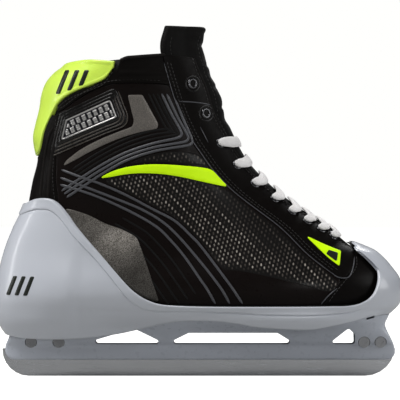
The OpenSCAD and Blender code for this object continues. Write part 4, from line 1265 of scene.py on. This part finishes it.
for word, side in SIDES.items():
    v, f, xz, d = patch(side, WEAVE_ZONE, 0.12, roll=0.4, step=2.0, edge_step=1.5)
    # Strength of the weave's painted highlights: faded at the border and below WEAVE_LOW, dimmed high up from
    # the middle forwards
    fade = smooth(d / 2.5) * smooth((xz[:, 1] - curve(WEAVE_LOW, xz[:, 0])) / 5 + 0.5)
    dim_top = smooth((xz[:, 1] - (152 - 0.95 * (xz[:, 0] + 10))) / 18) * smooth((xz[:, 0] + 20) / 30)
    dim_top = 1 - 0.75 * dim_top * (1 - 0.9 * smooth((xz[:, 0] - 58) / 26))
    piece(f"weave_{word}", v, f, M["carbon"], slot="shell_composite", fields={"painted_weave_highlight": fade * dim_top})
    # The band above the swoosh carries its painted highlights at half strength
    v, f, xz, d = patch(side, WEAVE_BAND, 0.12, roll=0.4, step=2.0, edge_step=1.5)
    piece(f"weave_band_{word}", v, f, M["carbon"], slot="shell_composite",
          fields={"painted_weave_highlight": 0.5 * smooth(d / 3)})
    film(word, "green_swoosh", SWOOSH, 0.4, "green", roll=0.35)
    film(word, "green_flash", TOE_FLASH, 0.35, "green", "black_leather",
         lift=OVER, roll=0.3, edge_step=0.7, step=1.6)
    film(word, "flash_tab", TOE_TAB, 0.3, "dark_film", "black_leather",
         lift=OVER + 0.35, roll=0.25, edge_step=0.6, step=1.4)
    film(word, "upper_grey_panel", UPPER_PANEL, 0.35, "warm", roll=0.35, step=2.2)
    v, f, xz, d = patch(side, LOWER_PANEL, 0.3, roll=0.4, step=2.2, relief=lambda p, d: 0.8 * smooth(d / 12))
    x, z = xz[:, 0], xz[:, 1]
    # Painted light on the lower panel: painted shade darker towards the bottom and the front, and two painted
    # highlight spots
    painted_light = 0.16 + 0.24 * smooth((0.8 * (z - 64) - 0.4 * (x + 66)) / 40)
    painted_light += 0.62 * bump(x, -58, 11) * bump(z, 112, 11) + 0.3 * bump(x, -74, 8) * bump(z, 99, 9)
    piece(f"lower_grey_panel_{word}", v, f, M["flecked"], slot="shell_composite", fields={"painted_light": painted_light})
    parts = [ribbon(side, line, 2.0, 0.6, lift)
             for lift, lines in ((0.15, LINES_UPPER), (0.2, LINES_LOWER)) for line in lines]
    piece(f"raised_lines_{word}", *joined(parts), M["line"], slot="shell_composite")
    parts = [ribbon(side, line, 1.5, 0.22) for line in GROOVES]
    piece(f"groove_shade_ribbons_{word}", *joined(parts), M["groove"], slot="shell_composite")

# ------------------------------------------------------------------ badge
for word, side in SIDES.items():
    parts = [patch(side, rounded(grown(BADGE, grow), 3.5), 0.5 + 0.45 * k,
                   roll=0.8, edge_step=0.6, step=2.5)[:2]
             for k, grow in enumerate((6.8, 4.6, 2.4))]
    piece(f"badge_bezel_{word}", *joined(parts), M["bezel"], slot="badge_bezel",
          replaces=[f"badge_frame_{word}"])
    base = np.array(BADGE)
    u_axis, v_axis = (base[1] - base[0] + base[2] - base[3]) / 2, (base[0] - base[3] + base[1] - base[2]) / 2
    origin = base.mean(0)
    inverse = np.linalg.inv(np.stack([u_axis, v_axis], 1))

    def emboss(p, d):
        """Raised border and slanted bars of the badge."""
        uv = (p - origin) @ inverse.T
        border = 0.6 * (1 - smooth((d - 0.9) / 0.6))
        bars = np.abs(((uv[:, 0] * 9 + uv[:, 1] * 1.2 + 0.5 * (uv[:, 1] > 0)) % 1) - 0.5) * 2
        split = smooth((np.abs(uv[:, 1]) - 0.03) / 0.02) * (1 - 0.6 * bump(np.abs(uv[:, 1]), 0.22, 0.03))
        inner = smooth((d - 2.2) / 0.5)
        return border + 0.5 * smooth((bars - 0.3) / 0.25) * split * inner

    v, f, xz, d = patch(side, rounded(BADGE, 1.8), 1.5, roll=0.5, edge_step=0.5, step=0.5, relief=emboss)
    piece(f"badge_plate_{word}", v, f, M["badge"], slot="badge_metal", replaces=[f"badge_{word}"], sharp=40,
          fields={"raised": np.clip(emboss(xz, d) / 0.45, 0, 1)})
    parts = []
    # Ribs under the badge and round its front corner, grey as their painted highlight
    for by, lift in ((3.0, 0.95), (5.3, 0.6), (7.7, 0.1)):
        g = grown(BADGE, by)
        line = [mix(g[3], g[2], t) for t in (0.04, 0.35, 0.7, 0.93)]
        line += [mix(g[2], g[1], t) for t in (0.2, 0.5, 0.85)]
        parts.append(ribbon(side, line, 0.9, 0.5, lift))
    piece(f"badge_ribs_{word}", *joined(parts), M["rib"], slot="badge_bezel")

# ------------------------------------------------------------------ eyelets
def grommets(side):
    """Rolled metal rings in the eyestay."""
    parts = []
    profile = np.array([
        (2.4, -3.2), (2.45, 0.6), (2.6, 0.98), (2.95, 1.22), (3.35, 1.22), (3.8, 1.08), (4.15, 0.8),
        (4.25, 0.5), (3.6, 0.45), (3.1, 0.4), (3.05, -3.2)])
    phi = np.arange(28) * 2 * np.pi / 28
    for x, z in LACED_EYELETS + FREE_EYELETS:
        a = side * angle_at(z, x)
        n = normal_at(z, a)
        p = ring(z, a)
        s = unit(np.cross([0, 0, 1], n))
        t = np.cross(n, s)
        depth = (SHELL_T * math.hypot(n[0], n[1]) + 0.3) / 3.2
        h = np.where(profile[:, 1] < 0, profile[:, 1] * depth, profile[:, 1])
        radial = s[None] * np.cos(phi)[:, None] + t[None] * np.sin(phi)[:, None]
        grid = p + radial[:, None] * profile[None, :, :1] + n * h[None, :, None]
        parts.append(outward(grid.reshape(-1, 3), [grid_faces(28, len(profile), wrap_u=True, wrap_v=True)]))
    return joined(parts)


def pressed_rings(side):
    """Padded rings pressed up in the leather round the free eyelets."""
    phi = np.linspace(0, 2 * np.pi, 61)[:-1]
    parts = []
    for x, z in FREE_EYELETS:
        p, n = on_boot(side, x + 5.4 * np.cos(phi), z + 5.9 * np.sin(phi), OVER - 0.3)
        parts.append(tube(p, n, np.full(60, 1.0), np.full(60, 0.55), closed=True))
    return joined(parts)


for word, side in SIDES.items():
    piece(f"grommets_{word}", *grommets(side), M["eyelet"], slot="eyelet_metal",
          replaces=[f"eyelets_{word}"], sharp=70)
    piece(f"eyelet_rings_{word}", *pressed_rings(side), M["shine"], slot="black_leather")

# ------------------------------------------------------------------ tendon guard
def guard_at(u, v, off):
    a = mix(101, 259, u)
    b = half_turn(a)
    return ring(mix(curve(GUARD_LOW, b), curve(GUARD_TOP, b), v), a, off)


def guard_form(p, d):
    """Thick border and the fine step inside it."""
    return 0.35 * (1 - smooth((d - 2.2) / 1.2))


v, f = panel(guard_at, 150, 65, 0.9, -SHELL_T, 1.1, 1.6, guard_form)
guard = piece("tendon_guard_moulded", v, f, M["guard"], ride=False)
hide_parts("guard_base", "tendon_guard")

GUARD_BARS = [[(x, z), (x + 3.6, z), (x + 3.6 + 0.42 * (241 - z), 241), (x + 0.42 * (241 - z), 241)]
              for x, z in ((-110, 223), (-101, 225.5), (-92, 229))]
piece("guard_bars", *printed_bars(GUARD_BARS, 1.0, BOOT), M["dark_film"], body="guard", slot="guard_plastic")
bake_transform(guard)

# ------------------------------------------------------------------ tongue
def tongue_off(z, a):
    e = curve(EYESTAY_EDGE, np.maximum(z, 105))
    return mix(curve(TONGUE_FRONT, z), TONGUE_UNDER, smooth((np.abs(a) / e - 0.3) / 0.65))


def tongue_relief(z, a):
    """Soft waves of the tongue's face and the channels sewn across it."""
    middle = smooth((34 - np.abs(a)) / 14)
    wave = 1.1 * bump(z, 217, 8) - 1.0 * bump(z, 203, 6) - 0.7 * bump(z, 236, 6) + 0.5 * bump(z, 247, 6)
    channel = -0.5 * np.exp(-(((np.abs(a) - 17) / 1.1) ** 2)) * smooth((z - 112) / 10) * smooth((268 - z) / 4)
    quilt = 0
    for line in (262, 246, 229, 213):
        quilt = quilt - 0.8 * bump(z, line, 1.5) * smooth((16.5 - np.abs(a)) / 2)
    ripple = 0.25 * middle * np.sin(z * 0.55 + a * 0.11) * smooth((z - 190) / 10)
    return middle * wave + channel + quilt + ripple


def build_tongue():
    z = np.concatenate([[98.0, 98.25, 98.8, 99.8], np.linspace(101, 273, 120), [274.4, 275.3, 275.8, 276.0]])
    share = np.concatenate([[-1, -0.99, -0.965], np.linspace(-0.93, 0.93, 64), [0.965, 0.99, 1]])
    z, t = np.meshgrid(z, share, indexing="ij")
    a = curve(TONGUE_ANGLE, z) * t
    p = ring(z, a, tongue_off(z, a))
    d = border_distance(p)
    off = tongue_off(z, a) + tongue_relief(z, a) * smooth(d / 4)
    hem = -0.45 * np.exp(-(((d - 5.0) / 0.7) ** 2))
    outer = ring(z, a, off + hem - rolled(d, 2.2))
    inner = ring(z, a, tongue_off(z, a) - TONGUE_T + rolled(d, 2.2))
    return slab(outer, inner)


tongue = piece("tongue_padded", *build_tongue(), M["felt"], ride=False)
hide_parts("tongue_lower", "tongue_flap")
parts = []
for sign in (-1, 1):
    z = np.linspace(112, 268, 160)
    a = np.full(len(z), sign * 17.0)
    parts.append(stitches(ring(z, a, tongue_off(z, a) + tongue_relief(z, a)), normal_at(z, a), 3.2))
    z = z[z > 205]
    a = sign * (curve(TONGUE_ANGLE, z) - 8.5)
    parts.append(stitches(ring(z, a, tongue_off(z, a) + tongue_relief(z, a) - 0.35), normal_at(z, a)))
tongue_thread = piece("tongue_stitching", *joined(parts), M["thread"], ride=False)
for obj in (tongue, tongue_thread):
    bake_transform(obj)

# ------------------------------------------------------------------ lace
CROSSINGS = [117.3, 123.5, 130.5, 138.5, 147.5, 158.5, 171.5, 185.5]
LACE_W, LACE_T = 8.0, 1.4
LAST = len(LACED_EYELETS) - 1


def barrel(n):
    return SHELL_T * math.hypot(n[0], n[1]) + 0.3


def eyelet(k):
    """Height and angle of a laced eyelet."""
    x, z = LACED_EYELETS[k]
    return z, float(angle_at(z, x))


def lace_width(k):
    """Width of crossing k: the lower ones are drawn in, half folded."""
    return LACE_W * mix(0.8, 1.04, float(smooth(k / 5)))


def half_crossing(side, k):
    """Out of eyelet k and over to the middle: height, angle, face, lift, width, thickness, turn."""
    (z0, a0), c, lie = eyelet(k), CROSSINGS[k], LACE_T / 2 + 0.8
    depth = barrel(normal_at(z0, side * a0))
    out = [(z0, side * a0, 0, o, 2.7, 2.2, 0) for o in (-depth - 0.9, -depth / 2, 0.4)]
    out.append((z0, side * (a0 + 2.2), 0, 1.9, 3.6, 1.8, 0))
    full = lace_width(k)
    for s in (0.02, 0.1, 0.2, 0.4, 0.6, 0.8):
        z, a, f = mix(z0, c, float(smooth(s))), a0 * (1 - s), min(1.0, s / 0.3) ** 0.6
        face = mix(float(tongue_off(z, 0.0)), 0, min(1, a / float(curve(EYESTAY_EDGE, z))))
        near = float(smooth(s * 2))
        out.append((z, side * a, face, mix(1.5 + lie, lie, near), mix(5.0, full, f), mix(1.8, LACE_T, f), 0))
    return out


def under_eyestay(side, z, a):
    """Station lying flat against the inside of the eyestay."""
    return (z, side * a, 0, -barrel(normal_at(z, side * a)) - 1.6, 5, LACE_T, 90)


def lace_route():
    """The whole lace: straight across at each pair of eyelets, climbing inside in between."""
    (z0, a0), (z9, a9) = eyelet(0), eyelet(LAST)
    route = [under_eyestay(LATERAL, z9 + 12, a9 + 15)]
    route += [under_eyestay(LATERAL, eyelet(k)[0], eyelet(k)[1] + 11) for k in range(LAST, 0, -1)]
    route.append(under_eyestay(LATERAL, z0 + 1.5, a0 + 5))
    for k in range(LAST + 1):
        side = LATERAL if k % 2 == 0 else MEDIAL
        lie = LACE_T / 2 + 0.8
        middle = (CROSSINGS[k], 0, float(tongue_off(CROSSINGS[k], 0.0)), lie, lace_width(k), LACE_T, 0)
        route += half_crossing(side, k) + [middle] + half_crossing(-side, k)[::-1]
        z, a = eyelet(k)
        if k < LAST:
            z2, a2 = eyelet(k + 1)
            route += [under_eyestay(-side, mix(z, z2, s), mix(a, a2, s)) for s in (0.3, 0.5, 0.7)]
        else:
            route += [under_eyestay(LATERAL, z + s, a + s * 0.5) for s in (5, 12)]
    return np.array(route, float)


def build_lace():
    route = lace_route()
    z, a, turn = route[:, 0], route[:, 1], np.radians(route[:, 6:7])
    p = ring(z, a, route[:, 2]) + normal_at(z, a) * route[:, 3:4]
    t = unit(p[np.minimum(np.arange(len(p)) + 1, len(p) - 1)] - p[np.maximum(np.arange(len(p)) - 1, 0)])
    up, about = unit(ring(z + 1, a) - ring(z - 1, a)), unit(ring(z, a + 0.5) - ring(z, a - 0.5))
    way = up * np.cos(turn) + about * np.sin(turn)
    w = unit(way - t * (way * t).sum(-1, keepdims=True))
    for k in range(1, len(w)):
        if w[k] @ w[k - 1] < 0:
            w[k] = -w[k]
    line = spline(np.concatenate([p, w, route[:, 4:6]], 1), 0.8)
    p, w, size = line[:, :3], unit(line[:, 3:6]), line[:, 6:8]
    t = unit(np.gradient(p, axis=0))
    w = unit(w - t * (w * t).sum(-1, keepdims=True))
    n = np.cross(t, w)
    run = run_along(p)
    wide = np.clip((size[:, 0] - 2.7) / 5.3, 0, 1.05) ** 0.6
    half_w = (1.3 + wide * 3.1) * (1 + 0.02 * np.sin(run * 1.9) + 0.02 * np.sin(run * 0.37))
    half_t = mix(1.15, 1.25, wide) * taper(len(p), 3)
    sides = 18
    phi = np.arange(sides) * 2 * np.pi / sides
    c = np.sign(np.cos(phi)) * np.abs(np.cos(phi)) ** 0.9
    s = np.sign(np.sin(phi)) * np.abs(np.sin(phi)) ** 0.85
    rows = run[:, None] * 0.9 + np.abs(c)[None] * 3.2
    ripple = 1 + 0.09 * np.sin(rows * np.pi)
    grid = (p[:, None] + w[:, None] * (half_w[:, None] * c)[..., None]
            + n[:, None] * (half_t[:, None] * s * ripple)[..., None])
    first, last = np.arange(sides), np.arange(sides) + (len(p) - 1) * sides
    caps = [np.array([(first[0], first[k + 1], first[k]) for k in range(1, sides - 1)]),
            np.array([(last[0], last[k], last[k + 1]) for k in range(1, sides - 1)])]
    faces = [grid_faces(len(p), sides, wrap_v=True)] + caps
    verts, faces = outward(grid.reshape(-1, 3), faces)
    along = np.repeat(run, sides)
    across = (half_w[:, None] * c).ravel() / 4.4 * 4
    return verts, faces, {"along": along, "across": across}


lace_verts, lace_faces, lace_fields = build_lace()
piece("lace_braid", lace_verts, lace_faces, M["lace"], slot="lace_cotton",
      replaces=["lace"], fields=lace_fields)

# ------------------------------------------------------------------ padding
LINER_IN = [(59, -5), (90, -6), (130, -8), (200, -9), (256, -8.5)]
LINER_TOP = [(0, 228), (0.45, 228), (0.6, 222), (0.72, 212), (0.82, 192), (0.9, 174), (1, 170)]


def soft_panel(place, back_off, front_off, nu, nv, swell, roll, quilt=None):
    """Padded sheet: flat against the shell, crowned inside, its border pulled in.

    place(u, v) gives heights and angles; back_off and front_off(z, u, v) are its faces' offsets."""
    u, v = np.meshgrid(np.linspace(0, 1, nu), np.linspace(0, 1, nv), indexing="ij")
    z, a = place(u, v)
    back = ring(z, a, back_off)
    d = border_distance(back)
    rise = swell * smooth(d / 9) - rolled(d, roll)
    if quilt is not None:
        rise = rise + quilt(v, back, d)
    return slab(ring(z, a, back_off - 0.3 * rolled(d, roll)), ring(z, a, front_off(z, u, v) - rise))


def liner_parts(side):
    def place(u, v):
        z = mix(61.7, curve(LINER_TOP, u), v)
        return z, side * mix(seam_angle(z) + 2, 179.6, u)

    def quilt(v, p, d):
        x, z = p[..., 0], p[..., 2]
        first, second = (x + z) / 24, (x - z) / 24
        seam = np.minimum(np.abs(first - np.round(first)), np.abs(second - np.round(second))) * 24 / 1.414
        ankle = 2.2 * bump(x, -60, 22) * bump(z, 140, 24)
        return ankle - 1.1 * np.exp(-((seam / 1.3) ** 2)) * smooth((z - 96) / 8)

    return soft_panel(place, -SHELL_T - 0.9, lambda z, u, v: curve(LINER_IN, z), 150, 110, 0.8, 1.6, quilt)


def collar_parts(side):
    def place(u, v):
        z = mix(230, 250.5 - 3 * u**2, v)
        return z, side * mix(seam_angle(z) + 2, 116, u)

    def front(z, u, v):
        return -SHELL_T - 1.3 - 7 * np.sin(np.radians(np.clip((z - 227) * 7, 0, 180)))

    return soft_panel(place, -SHELL_T - 0.3, front, 70, 36, 0.5, 1.5)


def tendon_pad_parts():
    def place(u, v):
        a = mix(130, 230, u)
        b = half_turn(a)
        low = curve(GUARD_LOW, b) + 1.5 + 6 * smooth((b - 101) / 18)
        fold = np.maximum(low, 199 + 42 * ((180 - b) / 79) ** 1.5)
        return mix(fold + 1, 245.5, v), a

    def front(z, u, v):
        return -SHELL_T - 2.6 - 4.5 * np.sin(np.pi * v) * np.sin(np.pi * u)

    def quilt(v, p, d):
        return -0.7 * np.exp(-((((v * 3) % 1 - 0.5) / 0.09) ** 2)) * smooth(d / 5)

    return soft_panel(place, -SHELL_T - 0.6, front, 80, 40, 0.4, 1.2, quilt)


for word, side in SIDES.items():
    pad = piece(f"ankle_liner_{word}", *liner_parts(side), M["lining"], slot="lining",
                replaces=[f"liner_{word}"])
    pad = piece(f"collar_roll_{word}", *collar_parts(side), M["pad"], slot="padding",
                replaces=[f"collar_pad_{word}"])
pad = piece("tendon_pad_quilted", *tendon_pad_parts(), M["pad"], body="guard", slot="padding",
            replaces=["tendon_pad"])


def footbed_parts():
    """Shaped footbed: raised round its border, dished under the heel and the ball of the foot."""
    z0 = SHELL_Z + 1.8 + 1.2
    share = np.concatenate([[1, 0.995, 0.985, 0.965], np.linspace(0.93, 0.02, 40)])
    a = np.linspace(0, 360, 161)[:-1]
    edge = ring(z0, a, -9.5)
    centre = np.array([0, 0, z0])
    grid = centre + (edge[:, None] - centre) * share[None, :, None]
    d = (1 - share)[None] * np.linalg.norm(edge[:, None, :2], axis=-1)
    x, y = grid[..., 0], grid[..., 1]
    dish = 0.9 * bump(x, -95, 26) * bump(y, 0, 16) + 0.6 * bump(x, 60, 30) * bump(y, 2, 22)
    top = grid + np.stack([0 * x, 0 * x, 4 - dish * smooth(d / 6) - rolled(d, 1.2)], -1)
    under = grid + np.stack([0 * x, 0 * x, 0.3 * rolled(d, 1.2)], -1)
    n, m = top.shape[:2]
    verts = np.concatenate([top.reshape(-1, 3), under.reshape(-1, 3),
                            [top[:, -1].mean(0)], [under[:, -1].mean(0)]])
    faces = grid_faces(n, m, wrap_u=True)
    k = np.arange(n)
    k2 = (k + 1) % n
    wall = np.stack([k * m, k * m + n * m, k2 * m + n * m, k2 * m], -1)
    hub = 2 * n * m
    last, last2 = k * m + m - 1, k2 * m + m - 1
    caps = np.concatenate([np.stack([last, last2, np.full(n, hub)], -1),
                           np.stack([last2 + n * m, last + n * m, np.full(n, hub + 1)], -1)])
    return outward(verts, [faces, faces[:, ::-1] + n * m, wall[:, ::-1], caps])


pad = piece("footbed_shaped", *footbed_parts(), M["footbed"], slot="footbed_foam", replaces=["footbed"])

# ------------------------------------------------------------------ seams, piping and stitching
# Lines along (x, z) points: width, height, lift, whether they curve
SEAM_LINES = [
    ([(95.6, 60), (101.5, 67), (108.4, 72.6)], 0.9, 0.5, 0.1, True),
    ([(103.6, 84.2), (108.2, 81.0), (113.0, 80.0), (117.0, 80.6), (119.6, 84.0), (121.6, 90), (122.4, 95.6)],
     0.9, 0.4, OVER - 0.1, True),
    ([(1.8, 197.6), (8.2, 185.0)], 0.8, 0.35, OVER - 0.1, False),
    ([(-14.2, 217.0), (-5, 216.6), (3, 215.8), (10.2, 214.4)], 1.0, 0.5, OVER - 0.1, True)]
# Rows of stitches beside an edge: its angle, heights, lift, degrees from it
SEWN_EDGES = [
    (seam_angle, (86, 248), OVER, -2.6), (seam_angle, (86, 248), OVER, -5.2),
    (edge_angle, (104, 250), OVER, 3.4),
    (lambda z: angle_at(z, curve(TOE_SEAM, z)), (62, 95), 0.3, -2.4), (heel_angle, (76, 203), 0.2, 2.2)]

for word, side in SIDES.items():
    parts = [edge_line(side, seam_angle, (84, 247), 0.1, 0.42)]
    for line, width, height, lift, curved in SEAM_LINES:
        parts.append(ribbon(side, line, width, height, lift, curved))
    piece(f"seam_piping_{word}", *joined(parts), M["line"], slot="shell_composite")
    parts = [edge_line(side, lambda z: edge_angle(z) + 0.4, (101, 252), OVER - 0.5, 1.05)]
    b = mix(66, 97, np.linspace(0, 1, 90))
    top, a = curve(CUFF_TOP, b) + 0.2, side * b
    parts.append(tube(ring(top, a, -0.9), normal_at(top, a), 1.5 * taper(90), 2.0 * taper(90)))
    for by, width in ((0, 3.4), (6, 2.6)):
        ridge = [(x - by, z) for x, z in ((-106, 203 - by), (-110, 190), (-114, 172), (-116, 156), (-117, 142))]
        parts.append(ribbon(side, ridge, width, 0.9))
    piece(f"edge_binding_{word}", *joined(parts), M["binding"], slot="black_leather")
    parts = [sewn_edge(side, *row) for row in SEWN_EDGES]
    for b, rise_of in ((np.linspace(100, 140, 120), lambda b: below_guard(b) - 2.4),
                       (np.linspace(74, 139, 160), lambda b: curve(QUARTER_TOP, b) + 2.6)):
        z = rise_of(b)
        parts.append(stitches(ring(z, side * b, 0.35), normal_at(z, side * b)))
    piece(f"stitching_{word}", *joined(parts), M["thread"], slot="black_leather")

# ------------------------------------------------------------------ light
def lamp(name, energy, size, azimuth, elevation, distance, colour=(1, 1, 1), size_y=None):
    """Area light aimed at the middle of the skate; azimuth 0 is the side that the picture shows."""
    light = bpy.data.lights.new(name, "AREA")
    light.energy, light.color = energy, colour
    light.shape = "RECTANGLE" if size_y else "SQUARE"
    light.size = size
    if size_y:
        light.size_y = size_y
    obj = bpy.data.objects.new(name, light)
    bpy.context.scene.collection.objects.link(obj)
    a, e = math.radians(azimuth), math.radians(elevation)
    away = Vector((math.sin(a) * math.cos(e), -math.cos(a) * math.cos(e), math.sin(e)))
    obj.location = Vector((0, 0, 0.13)) + away * distance
    obj.rotation_mode = "QUATERNION"
    obj.rotation_quaternion = away.to_track_quat("Z", "Y")


lamp("key", 17, 0.7, -54, 57, 1.4, (1.0, 0.99, 0.98))
lamp("strip", 2.4, 0.10, -84, 12, 1.1, size_y=0.9)
lamp("rim", 6, 0.5, 150, 40, 1.4)
lamp("window", 1.0, 0.10, -24, 30, 1.5)
lamp("fill", 9.5, 0.9, 80, 14, 1.8)
lamp("soft", 1.7, 0.2, 22, 7, 1.3)

world = bpy.data.worlds.new("studio")
bpy.context.scene.world = world
world.use_nodes = True
tree = world.node_tree
tree.nodes.clear()
paths = tree.nodes.new("ShaderNodeLightPath")
seen, unseen = tree.nodes.new("ShaderNodeBackground"), tree.nodes.new("ShaderNodeBackground")
seen.inputs["Color"].default_value = (1, 1, 0.985, 1)
seen.inputs["Strength"].default_value = 1.0
unseen.inputs["Color"].default_value = (0.94, 0.96, 1, 1)
unseen.inputs["Strength"].default_value = 0.12
pick = tree.nodes.new("ShaderNodeMixShader")
out = tree.nodes.new("ShaderNodeOutputWorld")
tree.links.new(paths.outputs["Is Camera Ray"], pick.inputs[0])
tree.links.new(unseen.outputs[0], pick.inputs[1])
tree.links.new(seen.outputs[0], pick.inputs[2])
tree.links.new(pick.outputs[0], out.inputs["Surface"])
bpy.context.scene.view_settings.view_transform = "Standard"

floor = moulded("studio_floor", (176, 176, 174), (0.6, 0.7), 0.01)
shine = floor.node_tree.nodes["Principled BSDF"]
floor_seen = floor.node_tree.nodes.new("ShaderNodeLightPath")
shine.inputs["Emission Color"].default_value = (1, 1, 0.985, 1)
floor.node_tree.links.new(floor_seen.outputs["Is Camera Ray"], shine.inputs["Emission Strength"])
verts = np.array([[-3000, -3000, 0], [3000, -3000, 0], [3000, 3000, 0], [-3000, 3000, 0]])
ground = piece("studio_ground", verts, [np.array([[0, 1, 2, 3]])], floor, ride=False)
